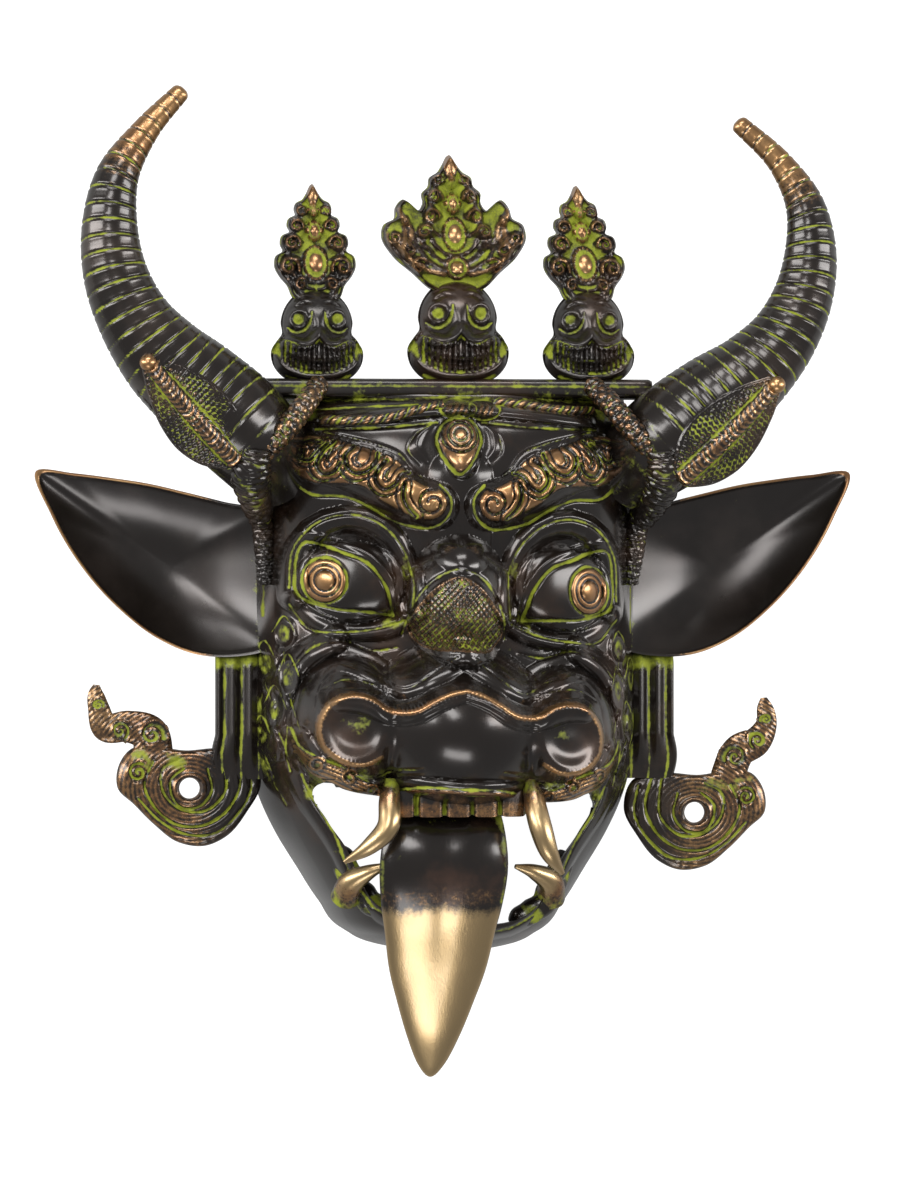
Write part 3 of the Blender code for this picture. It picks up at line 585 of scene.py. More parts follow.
def brass(name, patina=PATINA, warm=PATINA_WARM, scratches=0.3, grain=0.35, bump=0.12, coat=0.16):
    material = bpy.data.materials.new(name)
    material.use_nodes = True
    tree = material.node_tree
    shader = tree.nodes["Principled BSDF"]
    finish = tree.nodes.new("ShaderNodeGroup")
    finish.node_tree = finish_group
    finish.inputs["Patina"].default_value = patina
    finish.inputs["Warm patina"].default_value = warm
    for label in ("Green", "Copper", "Bare"):
        reader = tree.nodes.new("ShaderNodeAttribute")
        reader.attribute_name = label.lower()
        tree.links.new(reader.outputs["Fac"], finish.inputs[label])
    tree.links.new(finish.outputs["Color"], shader.inputs["Base Color"])
    tree.links.new(finish.outputs["Metallic"], shader.inputs["Metallic"])
    tree.links.new(finish.outputs["Roughness"], shader.inputs["Roughness"])
    tree.links.new(finish.outputs["Lacquer"], shader.inputs["Coat Weight"])
    shader.inputs["Coat Roughness"].default_value = coat
    shader.inputs["IOR"].default_value = 1.6
    surface = tree.nodes.new("ShaderNodeGroup")
    surface.node_tree = surface_group
    surface.inputs["Scratches"].default_value = scratches
    surface.inputs["Grain"].default_value = grain
    relief = tree.nodes.new("ShaderNodeBump")
    relief.inputs["Strength"].default_value = bump
    relief.inputs["Distance"].default_value = 0.0006
    tree.links.new(surface.outputs["Height"], relief.inputs["Height"])
    tree.links.new(relief.outputs["Normal"], shader.inputs["Normal"])
    return material


face_brass = brass("Dark brass of the face")
crown_brass = brass("Green brass of the crown", grain=0.7, bump=0.25, coat=0.3)
horn_brass = brass("Dark brass of the horns", warm=(0.035, 0.024, 0.018, 1.0), scratches=0.2)
snake_brass = brass("Scaled brass of the snakes", warm=(0.07, 0.04, 0.022, 1.0), bump=0.25)
ear_brass = brass("Polished brass of the ears", warm=(0.03, 0.022, 0.018, 1.0), coat=0.22)
scroll_brass = brass("Carved brass of the ribbons", warm=(0.06, 0.036, 0.02, 1.0), bump=0.2)
mouth_brass = brass("Brass of the mouth", warm=(0.07, 0.035, 0.022, 1.0), scratches=0.5, bump=0.2)
inside_brass = brass("Rough brass inside", warm=(0.09, 0.05, 0.025, 1.0), grain=1.2, bump=0.6, coat=0.5)
print("materials", len(bpy.data.materials))

# %% [markdown]
# ## The form of the face
#
# The face starts as a deep arch whose width and depth change from crown to chin, like a vault. Eyes,
# brows, nose, snout and lips are added to it as domes and rolls. But for the shallower nostrils, the
# numbers are the solid's own, so the skin lies on it. The wax leaned a little, which `lean` keeps.

# %% The face's vault
LEAN_FULL = 0.046
LEAN_TOP = 70.0
LEAN_RUN = 80.0


def half_width(y):
    return smooth_curve(
        y,
        (-184, -182, -175, -160, -143, -125, -105, -80, -40, 0, 60, 84, 100),
        (22, 33, 49, 62, 73, 84, 93, 98, 98, 98, 98, 95, 92),
    )


def depth(y):
    return smooth_curve(
        y,
        (-184, -176, -165, -150, -120, -80, -30, 0, 30, 60, 80, 88, 94, 100),
        (46, 66, 77, 80, 84, 86, 88, 92, 99, 102, 97, 90, 78, 76),
    )


def lean(x, y):
    share = unit((LEAN_TOP - y) / LEAN_RUN)
    return y + x * LEAN_FULL * share


# %% The face's features


def eye_form(x, y):
    form = swell(x, y, (53, 3), (27, 25), -9.0)
    form = form + dome(x, y, (53, -1), (27, 21), 15.0)
    upper = [(80, -10), (80, 10), (68, 27), (52, 31), (36, 24), (26, 6), (24, -14)]
    lower = [(81, -12), (68, -22), (50, -26), (34, -24), (23, -18)]
    form = form + roll(x, y, upper, 7.0, 6.0)
    return form + roll(x, y, lower, 5.0, 4.0)


def brow_form(x, y):
    pad = roll(x, y, [(13, 38), (32, 45), (55, 57), (76, 63)], 12.0, 8.0)
    return np.maximum(pad, dome(x, y, (13.5, 39.5), (8.5, 8.5), 10.0, 0.5))


def muzzle_form(x, y):
    lobes = dome(x, y, (53, -73), (29, 35), 37.0, 0.6)
    middle = dome(x, y, (0, -70), (48, 42), 46.0, 0.6)
    form = blended_max(lobes, middle, 9.0)
    ridge = [(0, -52), (13, -57), (25, -64), (38, -65), (49, -61), (60, -60)]
    form = form + roll(x, y, ridge, 6.0, 4.0)
    ring = np.hypot(x - 53, y + 74)
    form = form + 2.6 * mark(ring - 15.5, 4.5)
    form = form - 4.5 * np.exp(-((ring / 12.0) ** 3))
    snarl = [(0, -34), (16, -43), (30, -50), (46, -42), (64, -38), (76, -50), (80, -74)]
    return form + roll(x, y, snarl, 8.0, 4.5)


def lip_form(x, y):
    upper = [(0, -104), (22, -103), (42, -104), (60, -101), (72, -93), (80, -80)]
    lower = [(80, -96), (74, -110), (64, -124), (55, -138), (48, -152), (34, -167), (0, -174)]
    return roll(x, y, upper, 7.0, 7.0) + roll(x, y, lower, 5.0, 4.0)


def cheek_form(x, y):
    form = roll(x, y, [(60, -30), (78, -42), (86, -62), (87, -86)], 7.0, 6.0)
    for centre, radii in (((91, -44), (5, 8)), ((92, -66), (4, 11)), ((90, -86), (4, 10))):
        form = form + dome(x, y, centre, radii, 4.0)
    return form


def face_height(x, y):
    across = np.abs(x)
    level = lean(x, y)
    share = unit(across / half_width(y))
    arch = (1.0 - share**3.2) ** (1 / 2.2)
    features = (
        eye_form(across, level)
        + brow_form(across, level)
        + muzzle_form(across, level)
        + lip_form(across, level)
        + cheek_form(across, level)
        + dome(across, level, (0, -9), (27, 33), 29.0)
        + roll(across, level, [(0, 52), (0, 20)], 16.0, 5.0)
        + dome(across, level, (0, 67), (10, 16), 6.0)
        + roll(across, level, [(0, 87), (30, 84), (66, 80)], 3.6, 4.0)
        + dome(across, level, (0, 85), (11, 6), 4.5)
    )
    edge = unit((1.0 - share) / 0.10)
    return depth(y) * arch + features * edge


# %% [markdown]
# ## Carving the brows and eyes
#
# The brows are rows of hooked flame locks, each cut as a bundle of parallel strands that curls over
# at its tip. The eyes are glossy balls in wide green rims with a ringed copper pupil.

# %% Brows


BROW_PAD = [(82.6, 62), (77.6, 72.5), (61.6, 72), (53.6, 69), (39.6, 65), (30.6, 60), (24.6, 52)]
BROW_PAD += [(17.6, 48), (10.6, 46), (7.6, 39), (10.6, 33), (21.6, 31), (30.6, 35), (39.6, 40)]
BROW_PAD += [(48.6, 47), (61.6, 48.5), (71.6, 49), (80.6, 55)]
BROW_UNDERLINE = [(82.5, 51), (72.6, 43.5), (56.6, 42), (43.6, 36.5), (34.6, 31), (22.6, 27.5)]
BROW_UNDERLINE += [(13.6, 27.5), (6.4, 34), (5.8, 42), (11, 48.5)]
BROW_TOP_LINE = [(17, 50.5), (24, 56), (30, 63.5), (41, 68.5), (54, 72), (66, 75)]
BROW_HOOKS = (
    [(80, 62), (78.8, 68), (74, 70.5), (68.6, 70)],
    [(77.0, 66), (78.0, 62), (74.6, 60.5), (69.6, 65), (65.6, 69)],
    [(61.6, 70.5), (67.6, 65), (70.6, 58), (67.6, 53.5), (62.6, 54.5), (59.6, 59)],
    [(52.6, 67.5), (57.1, 63), (56.6, 57.5), (52.6, 53.8), (46.6, 55), (42.6, 59), (41, 64)],
    [(36.6, 60.5), (41.6, 56), (42.6, 50), (38.6, 45.8), (33.6, 48), (29.6, 53.5), (26, 54.5)],
    [(28.6, 49), (29.1, 42), (26.5, 36.5), (22.6, 32.5)],
)
BROW_FLECKS = (
    [(75.1, 55), (71.6, 51.5), (67.6, 50), (63.1, 51)],
    [(60.1, 55), (57.6, 51.5), (52.6, 49.5), (48.1, 51)],
    [(46.6, 49), (43.6, 45), (38.6, 42.5), (33.6, 44)],
    [(63.5, 66), (65.6, 61), (64.6, 58.5)],
    [(50.5, 64), (52, 60), (49.6, 58)],
    [(35.6, 56), (37.6, 52.5), (36.2, 50)],
)


def carve_brows(carving):
    carving.pad(BROW_PAD, 1.6, 2.4, copper=0.78)
    for path in BROW_HOOKS:
        carving.stroke(path, 1.25, height=-2.5, steps=22, taper=0.3)
        near = distance_to_path(carving.x, carving.y, smooth_path(path, 22))[0]
        groove = mark(near, 1.15)
        second = 0.9 * mark(near - 3.5, 0.55) * (carving.copper > 0.3)
        carving.height += 0.5 * mark(near - 2.2, 0.8) - 1.2 * second
        carving.copper *= (1.0 - groove) * (1.0 - 0.9 * second)
        line = 0.62 * mark(near - 0.95, 0.45)
        carving.green = np.maximum(carving.green, np.maximum(line, 0.30 * second))
    for path in BROW_FLECKS:
        carving.stroke(path, 0.7, height=-1.3, green=0.55, steps=12, taper=0.5)
    curl = coil((15.2, 39.3), 7.0, 105, -1.25, inner=0.3)
    carving.stroke(curl, 0.75, height=-1.5, green=0.35, steps=36)
    for k in range(5):
        start = (10.5 + 2.0 * k, 41.5 - 0.6 * k)
        carving.stroke([start, (start[0] + 2.2, start[1] - 3.4)], 0.35, height=-0.4, steps=3)
    carving.stroke(BROW_UNDERLINE, 0.75, height=-1.2, green=0.98, steps=50)
    carving.stroke(BROW_TOP_LINE, 0.7, height=-0.8, green=0.45, steps=26)


# %% Eyes
EYE_OPENING = [(32, -17), (37.5, -1), (46, 9), (57, 13.5), (67, 17.5), (75, 18.5), (79.5, 4), (78.5, -8)]
EYE_OPENING += [(62, -15), (47, -16)]
PUPIL = (66, -1.0)


def carve_eyes(carving):
    carving.stroke(EYE_OPENING + EYE_OPENING[:1], 0.85, height=-1.6, green=0.92, steps=60)
    outer = [(28, -17), (34, 1), (44, 12.5), (56, 18.5), (69, 22), (78, 23.5)]
    carving.stroke(outer, 1.3, height=1.3, copper=0.22, steps=30)
    carving.stroke([(30, -19.5), (47, -20), (63, -19.5), (79, -12)], 1.2, height=1.1, green=0.2, steps=24)
    socket = [(82, -5), (80, 16), (70, 28.5), (55, 33), (39, 28), (27.5, 15), (23.5, 1), (24.5, -16)]
    carving.stroke(socket, 0.8, height=-1.1, green=0.62, steps=40)
    carving.stroke([(26, -19), (40, -24), (58, -26.5), (72, -26), (82, -14)], 0.7, height=-1.0, green=0.72)
    carving.wash((34, -21), (8, 3), green=0.55)
    carving.wash((27, 8), (3, 9), green=0.50)
    ring = np.hypot((carving.x - PUPIL[0]) / 1.0, (carving.y - PUPIL[1]) / 1.12)
    carving.height += 2.4 * unit(1.0 - (ring / 10.4) ** 2) ** 0.4
    disc = unit((10.2 - ring) / 0.8)
    carving.copper = np.maximum(carving.copper * (1 - disc), 0.95 * disc)
    carving.green *= 1.0 - disc
    for radius, width in ((10.6, 0.8), (7.3, 0.6), (4.9, 0.6)):
        cut = mark(ring - radius, width)
        carving.height -= 0.8 * cut
        carving.copper *= 1.0 - 0.9 * cut
        carving.green = np.maximum(carving.green, (0.8 if radius > 10 else 0.25) * cut)
    carving.height += 1.3 * unit(1.0 - (ring / 4.4) ** 2) ** 0.5


# %% [markdown]
# ## Carving the middle line: third eye, nose and snout
#
# The third eye stands upright on the forehead, an almond with a ringed ball. The tip of the nose is a
# cross-hatched patch. One raised copper line runs over the snout and coils round both nostrils.

# %% Third eye and nose


def carve_third_eye(carving):
    """On the true x of the cast, because it stands a little to the left."""
    x, y = carving.x, carving.y
    body = [(-1, 83), (7, 79), (10, 72), (7, 63), (-1.5, 53.5), (-9.5, 63), (-12, 72), (-8, 79)]
    carving.pad(body, 2.6, 3.0, copper=0.62)
    carving.stroke(body + body[:1], 0.9, height=-1.0, green=0.85, steps=44)
    for wing in ([(-12, 80), (-19, 75), (-22, 68), (-17, 60)], [(11, 80), (16, 74), (17, 67), (12, 60)]):
        carving.stroke(wing, 2.0, height=1.3, steps=16, taper=0.6)
        outer = [(px * 1.18, py - 1.5) for px, py in wing]
        carving.stroke(outer, 0.7, height=-0.8, green=0.5, steps=16, taper=0.5)
    ring = np.hypot(x + 1, y - 73.5)
    carving.height += 3.0 * unit(1.0 - (ring / 8.6) ** 2) ** 0.5
    for radius in (8.8, 5.9, 3.3):
        cut = mark(ring - radius, 0.6)
        carving.height -= 0.9 * cut
        carving.copper *= 1.0 - cut
        carving.green = np.maximum(carving.green, 0.45 * cut)


NOSE_PATCH = [(-3, 3), (8, -2), (15, -10), (21, -23), (16, -31), (-2, -33), (-19, -31), (-26, -21)]
NOSE_PATCH += [(-19, -9), (-11, -1)]
HATCH_PITCH = 2.3


def carve_nose(carving):
    loop = smooth_loop(NOSE_PATCH, 60)
    inside = inside_loop(carving.x, carving.y, loop).astype(float)
    for angle in (math.radians(38), math.radians(-42)):
        line = carving.x * math.cos(angle) + carving.y * math.sin(angle)
        phase = np.abs((line / HATCH_PITCH) % 1.0 - 0.5) * HATCH_PITCH
        cut = mark(phase, 0.40) * inside
        carving.height -= 0.5 * cut
        carving.green = np.maximum(carving.green, 0.62 * cut)
    carving.copper = np.maximum(carving.copper, 0.48 * inside * (1 - carving.green))
    carving.stroke(np.vstack([loop, loop[:1]]), 1.0, height=1.2, copper=0.5, steps=90)
    rim = [(-28, -26), (-22, -8), (-12, 3), (-3, 7), (9, 3), (17, -7), (23, -26)]
    carving.stroke(rim, 0.8, height=-0.8, green=0.55, steps=30)


# %% Snout and lips
SNOUT_LINE = [(0, -52.5), (8, -54.5), (16, -58.5), (26, -64), (36, -64), (45, -58.5), (56, -57)]
SNOUT_LINE += [(65, -62), (70, -72), (68, -83), (59, -90), (48, -91), (40, -87)]


def carve_snout(carving):
    carving.stroke(SNOUT_LINE, 2.1, height=1.9, copper=0.72, steps=60, taper=0.30)
    inner = [(0, -56), (9, -58.5), (18, -63), (27, -68.5), (36, -69)]
    carving.stroke(inner, 0.8, height=-0.7, steps=24)
    line = smooth_path(SNOUT_LINE, 60)
    for k in range(1, 59):
        run = line[k + 1] - line[k - 1]
        tick = np.array((-run[1], run[0])) / np.linalg.norm(run) * 1.9
        carving.stroke([line[k] - tick, line[k] + tick], 0.26, height=-0.35, steps=3)
    carving.wash((50, -72), (6, 5), green=0.42)
    carving.wash((48, -97), (12, 3.5), green=0.60)
    for path, width, green in (
        ([(4, -36), (16, -45), (30, -53), (44, -46), (58, -41)], 0.8, 0.35),
        ([(34, -55), (46, -51), (58, -50), (68, -55)], 0.6, 0.40),
        ([(30, -33), (42, -35), (56, -31), (70, -34), (80, -44)], 0.9, 0.45),
        ([(20, -92), (34, -94), (46, -99), (56, -97)], 0.9, 0.50),
    ):
        carving.stroke(path, width, height=-0.9, green=green, steps=24, taper=0.4)


LIP_TOP = [(82, -75), (78, -84), (69, -89), (58, -93), (47, -99), (34, -103), (20, -101), (0, -101)]
LIP_FOOT = [(79, -88), (72, -98), (62, -102), (50, -107), (37, -107), (22, -104.5), (0, -104)]
LIP_HOOKS = ((55.5, -98.0, 4.2, 150), (44.0, -104.0, 3.4, 150), (70.5, -92.5, 4.0, 140))


def carve_lips(carving):
    top, foot = smooth_path(LIP_TOP, 30), smooth_path(LIP_FOOT, 30)
    for k in range(5):
        share = (k + 0.5) / 5
        strand = top * (1 - share) + foot * share
        carving.stroke(strand, 1.0, height=1.2, copper=0.84, steps=40)
        seam = top * (0.9 - share) + foot * (share + 0.1)
        carving.stroke(seam, 0.40, height=-0.7, green=0.45, steps=40)
    carving.stroke(top, 0.9, height=-1.5, green=0.75, steps=40)
    for x, y, radius, start in LIP_HOOKS:
        reach = np.hypot(carving.x - x, carving.y - y) / radius
        carving.copper *= 1.0 - 0.9 * np.exp(-(reach**4))
        carving.height -= 1.6 * np.exp(-(reach**4))
        hook = coil((x, y), radius, start, -1.15, inner=0.35)
        carving.stroke(hook, 0.9, height=1.9, copper=0.7, steps=26)
        carving.wash((x, y), (radius * 0.5, radius * 0.5), green=0.5)
    for k in range(30):
        x = 2.0 + 1.05 * k
        carving.stroke([(x, -104.6), (x + 0.3, -101.6)], 0.22, height=-0.3, steps=2)


CHEEK_CURLS = (
    ((84.0, -29), (5.4, 8.0), (86, -44)),
    ((92.5, -44), (5.4, 10.0), (92, -62)),
    ((82.5, -50), (4.8, 10.0), (80, -76)),
    ((88.5, -66), (4.8, 10.0), (83, -92)),
    ((94.0, -80), (4.0, 8.5), (89, -102)),
)


def carve_cheeks(carving):
    for row in CHEEK_CURLS:
        carving.curl(*row)
    carving.wash((95, -66), (3, 10), green=0.55)
    carving.wash((92, -97), (4, 9), green=0.52)
    carving.stroke([(82, -70), (81, -82), (77, -96), (72, -104)], 1.6, height=1.2, steps=16, taper=0.4)
    carving.stroke([(83, -74), (83.5, -86), (81, -97)], 0.6, height=-0.8, green=0.6, steps=14)
    carving.stroke([(88, -90), (88, -102), (82, -114)], 0.6, height=-0.7, green=0.4, steps=14)
    carving.stroke([(82, -100), (75, -113), (63, -131), (53, -150), (43, -164)], 1.4, height=0.9, steps=24)
    carving.stroke([(76, -98), (71, -109), (60, -127), (51, -148), (41, -162)], 0.9, height=-1.1, green=0.7)
    carving.stroke([(41, -162), (28, -170), (0, -173)], 0.9, height=-1.0, green=0.5)
    carving.wash((72, -106), (4, 8), green=0.45)


def carve_forehead(carving):
    carving.stroke([(0, 92.5), (40, 91.5), (90, 91)], 1.5, height=-2.2, green=0.55, steps=12)
    carving.stroke([(11, 79.5), (40, 77), (70, 76.5)], 0.9, height=-1.0, green=0.6, steps=12)
    carving.stroke([(20, 88.5), (44, 87.5), (76, 86)], 0.7, height=-0.8, green=0.7, steps=12)
    carving.wash((74, 84), (10, 4), green=0.5)
    carving.stroke([(86, 80), (90, 50), (92, 20), (93, -20)], 1.0, height=-1.1, green=0.55, steps=16)
    carving.wash((92, 70), (5, 12), green=0.45)


def carve_knot(carving):
    """The knot that joins both cords over the third eye, on the true x."""
    for centre, radii in (((-1, 86.5), (9, 5.2)), ((12, 86), (8, 5.2))):
        carving.height += dome(carving.x, carving.y, centre, radii, 2.4)
        carving.copper = np.maximum(carving.copper, dome(carving.x, carving.y, centre, radii, 0.6))
        squash = radii[1] / radii[0]
        rim = arc(centre, radii[0], 0, 360, 20, squash)
        carving.stroke(rim, 0.7, height=-1.0, green=0.7, steps=30)
        for k in range(4):
            x = centre[0] - 4.5 + 3.0 * k
            carving.stroke([(x, 83.5), (x + 2.5, 88.5)], 0.5, height=-0.8, green=0.3, steps=3)
    for k in range(3):
        carving.boss((-9.0 - 2.6 * k, 88.0), 1.4, 0.9, copper=0.6)


# %% [markdown]
# ## The skin of the face
#
# A skin this finely carved needs a point about every half millimetre, which is too many for one
# piece, so the face is sewn from four bands with the same rows where they meet. In each row the
# columns are spread evenly along the surface instead of along x, which keeps the quads on the steep
# cheeks as small as those on the forehead.

# %% The face's bands
MOUTH_HALF = [(36, -107), (57, -104), (66, -101), (70, -105), (63, -121)]
MOUTH_HALF += [(54, -134), (48, -147), (41, -159), (30, -166), (12, -169)]
MOUTH = [(x, y - x * LEAN_FULL) for x, y in MOUTH_HALF]
MOUTH += [(-x, y + x * LEAN_FULL) for x, y in reversed(MOUTH_HALF)]
MOUTH_MIDDLE = np.mean(MOUTH, axis=0)
FACE_COLUMNS = fineness(500)
ROW_PITCH = fineness(0.64)


def spread_columns(y, width, height, columns):
    """x along each row, evenly spaced along the surface."""
    fine = np.linspace(-1.0, 1.0, 901)
    x_fine = width(y)[:, None] * fine[None, :]
    z_fine = height(x_fine, np.repeat(y[:, None], len(fine), axis=1))
    steps = np.hypot(np.diff(x_fine, axis=1), 0.5 * np.diff(z_fine, axis=1))
    along = np.concatenate([np.zeros((len(y), 1)), np.cumsum(steps, axis=1)], axis=1)
    wanted = np.linspace(0.0, 1.0, columns + 1)
    return np.array([np.interp(wanted * a[-1], a, row) for a, row in zip(along, x_fine)])


def carved_face(x, y):
    """The height of the carved skin at x and y, and its marks."""
    level = lean(x, y)
    pairs = Carving(np.abs(x), level)
    carve_forehead(pairs)
    carve_brows(pairs)
    carve_eyes(pairs)
    carve_snout(pairs)
    carve_cheeks(pairs)
    carve_lips(pairs)
    middle = Carving(x, level)
    middle.height, middle.green, middle.copper = pairs.height, pairs.green, pairs.copper
    carve_third_eye(middle)
    carve_knot(middle)
    carve_nose(middle)
    share = unit(np.abs(x) / half_width(y))
    edge = unit((1.0 - share) / 0.03)
    return face_height(x, y) + middle.height * edge, middle


def trim_to_mouth(made, drop):
    """Moves the cut edge of the mouth onto its outline and gives it the thickness of the wall."""
    mesh = made.data
    bm = bmesh.new()
    bm.from_mesh(mesh)
    loop = smooth_loop(MOUTH, 3000)
    edges = []
    for edge in bm.edges:
        if edge.is_boundary:
            middle = (edge.verts[0].co + edge.verts[1].co) / 2 / MM
            if np.hypot(loop[::12, 0] - middle.x, loop[::12, 1] - middle.y).min() < 2.5:
                edges.append(edge)
    rim = list({vert for edge in edges for vert in edge.verts})
    found = []
    for vert in rim:
        gap = np.hypot(loop[:, 0] - vert.co.x / MM, loop[:, 1] - vert.co.y / MM)
        found.append(loop[gap.argmin()])
    found = np.array(found)
    height, _ = carved_face(found[:, 0], found[:, 1])
    for vert, place, level in zip(rim, found, height):
        vert.co = (place[0] * MM, place[1] * MM, float(level) * MM)
    grown = bmesh.ops.extrude_edge_only(bm, edges=edges)["geom"]
    for item in grown:
        if isinstance(item, bmesh.types.BMVert):
            item.co.z -= drop * MM
    bmesh.ops.recalc_face_normals(bm, faces=bm.faces)
    bm.to_mesh(mesh)
    bm.free()
    mesh.set_sharp_from_angle(angle=SHARP_ANGLE)


def face_band(name, low, high):
    y = np.linspace(low, high, max(8, round((high - low) / ROW_PITCH)) + 1)
    x = spread_columns(y, half_width, face_height, FACE_COLUMNS)
    grid_y = np.repeat(y[:, None], FACE_COLUMNS + 1, axis=1)
    z, carving = carved_face(x, grid_y)
    z[:, [0, -1]] = 0.0
    points = np.stack([x, grid_y, z], axis=-1)
    marks = marks_of(carving)
    if high == FACE_CROWN:
        points = np.concatenate([points, (points[-1] * (1, 1, 0))[None]], axis=0)
        marks = {key: np.vstack([values, 0 * values[-1:]]) for key, values in marks.items()}
    if low == FACE_CHIN:
        points = np.concatenate([(points[0] * (1, 1, 0))[None], points], axis=0)
        marks = {key: np.vstack([0 * values[:1], values]) for key, values in marks.items()}

    def outside_mouth(centres):
        return ~inside_loop(centres[:, 0], centres[:, 1], smooth_loop(MOUTH, 240))

    crosses_mouth = low < MOUTH[1][1]
    keep = outside_mouth if crosses_mouth else None
    made = sheet(name, points, marks, face_brass, keep=keep, weld=False)
    if crosses_mouth:
        trim_to_mouth(made, 1.5 * FACE_WALL)
    return made


EYE_LINE = 28.0
SNOUT_TOP = -36.0
LIP_LINE = -96.0
for name, low, high in (
    ("Forehead and brows", EYE_LINE, FACE_CROWN),
    ("Eyes and nose", SNOUT_TOP, EYE_LINE),
    ("Snout and cheeks", LIP_LINE, SNOUT_TOP),
    ("Lips and jaw", FACE_CHIN, LIP_LINE),
):
    made = face_band(name, low, high)
    print(name, len(made.data.polygons), "quads")

# %% [markdown]
# ## The hollow back
#
# A casting has a wall of even thickness, so the inner side is the outer side softened. The script
# rolls a ball of the wall's size under the outer skin and keeps its lowest reach, which is what a
# foundry's core does too.

# %% The inner side


def inner_height(x, y):
    ring = np.linspace(0.0, 2 * math.pi, 12, endpoint=False)
    offsets = [(0.0, 0.0)]
    offsets += [
        (r * FACE_WALL * math.cos(a), r * FACE_WALL * math.sin(a)) for r in (0.5, 1.0) for a in ring
    ]
    lowest = np.full(np.shape(x), np.inf)
    for dx, dy in offsets:
        drop = math.sqrt(max(FACE_WALL**2 - dx**2 - dy**2, 0.0))
        at_x, at_y = x + dx, y + dy
        inside = (np.abs(at_x) < half_width(at_y)) & (at_y > FACE_CHIN) & (at_y < FACE_CROWN)
        here = np.where(inside, face_height(at_x, at_y), 0.0)
        lowest = np.minimum(lowest, here - drop)
    return np.maximum(lowest, 0.0)


def inner_side():
    y = np.linspace(FACE_CHIN + FACE_WALL, FACE_CROWN - FACE_WALL, 130)
    x = spread_columns(y, lambda rows: half_width(rows) - FACE_WALL, face_height, 100)
    grid_y = np.repeat(y[:, None], x.shape[1], axis=1)
    z = inner_height(x, grid_y)
    z[:, [0, -1]] = 0.0
    z[[0, -1], :] = 0.0
    points = np.stack([x, grid_y, z], axis=-1)

    def outside_mouth(centres):
        wider = (np.array(MOUTH) - MOUTH_MIDDLE) * 1.03 + MOUTH_MIDDLE
        return ~inside_loop(centres[:, 0], centres[:, 1], wider)

    marks = plain_marks(z.shape, green=0.12, copper=0.18)
    return sheet("Hollow inside", points, marks, inside_brass, keep=outside_mouth, flip=True)


def back_rim():
    """The flat rim that the mask lies on, between the outer and the inner side."""
    y = np.linspace(FACE_CHIN, FACE_CROWN, 120)
    outer = [(half_width(np.array([v]))[0], v) for v in y]
    outer = outer + [(-a, b) for a, b in reversed(outer)]
    inner_y = np.clip(y, FACE_CHIN + FACE_WALL, FACE_CROWN - FACE_WALL)
    inner = [(half_width(np.array([v]))[0] - FACE_WALL, v) for v in inner_y]
    inner = inner + [(-a, b) for a, b in reversed(inner)]
    points = np.array([[(*point, 0.0) for point in loop] for loop in (outer, inner)])
    marks = plain_marks(points.shape[:2], green=0.1, copper=0.5)
    return sheet("Back rim", points, marks, inside_brass, wrap=True, weld=False)


inner_side()
back_rim()
print("inside made")

# %% [markdown]
# ## The rail of the crown
#
# A plain bar crosses the top of the head and carries the skulls. It is a rounded box section drawn
# along its length, so it can be made like a tube with a squarish section.

# %% Rail


def rounded_bar(name, start, end, width, height, material, marks_at, sides=32, steps=70):
    """A straight bar of rounded rectangular section. marks_at(share, turn) gives green and copper."""
    start, end = np.array(start, float), np.array(end, float)
    share = np.concatenate([[0, 0.002], np.linspace(0.01, 0.99, steps), [0.998, 1]])
    swell_ends = np.concatenate([[0.55, 0.85], np.ones(steps), [0.85, 0.55]])
    turn = np.linspace(0.0, 2 * math.pi, sides, endpoint=False)
    square = 1.0 / np.maximum(np.abs(np.cos(turn)) ** 5 + np.abs(np.sin(turn)) ** 5, 1e-9) ** 0.2
    grid_share, grid_turn = np.meshgrid(share, turn, indexing="ij")
    points = start + grid_share[..., None] * (end - start)
    points = points + np.stack(
        [
            np.zeros(grid_share.shape),
            height / 2 * np.cos(grid_turn) * square * swell_ends[:, None],
            width / 2 * np.sin(grid_turn) * square * swell_ends[:, None],
        ],
        axis=-1,
    )
    green, copper = marks_at(grid_share, grid_turn)
    return sheet(name, points, {"green": green, "copper": copper}, material, wrap=True, closed=True)


def rail_marks(share, turn):
    line = mark(turn - 0.42 * math.pi, 0.10)
    foot = mark(turn - math.pi, 0.9)
    return 0.22 + 0.55 * line + 0.4 * foot, 0.12 * np.ones(share.shape)


RAIL_THICKNESS = 24.0
rail_y = FACE_CROWN - 0.3 * RAIL_HEIGHT
rail_ends = [(end * RAIL_LENGTH / 2, rail_y, RAIL_TOP_DEPTH) for end in SIDES]
rounded_bar("Crown rail", *rail_ends, RAIL_THICKNESS, RAIL_HEIGHT, crown_brass, rail_marks)


def twisted(along, turn, radius, place):
    """Two strands laid round each other."""
    strand = np.abs(np.cos(turn - 2 * math.pi * along / 11.0))
    copper = 0.62 * strand**2 * unit(np.sin(turn) + 0.3)
    return 0.55 * strand - 0.3, {"green": 0.70 * (1 - strand) ** 1.5, "copper": copper}


CORD_RADIUS = 2.3
CORDS = {
    "Left": [(-67, 81), (-52, 80.5), (-37, 81.5), (-22, 85.5), (-9, 88.5)],
    "Right": [(18, 90), (33, 88.5), (48, 86.5), (60, 86), (68, 86)],
}
for name, rows in CORDS.items():
    line = smooth_path(rows, 150)
    height = face_height(line[:, 0], line[:, 1]) + 0.4
    radii = np.full(len(line), CORD_RADIUS)
    tube(f"{name} cord", np.column_stack([line, height]), radii, crown_brass, 20, twisted)


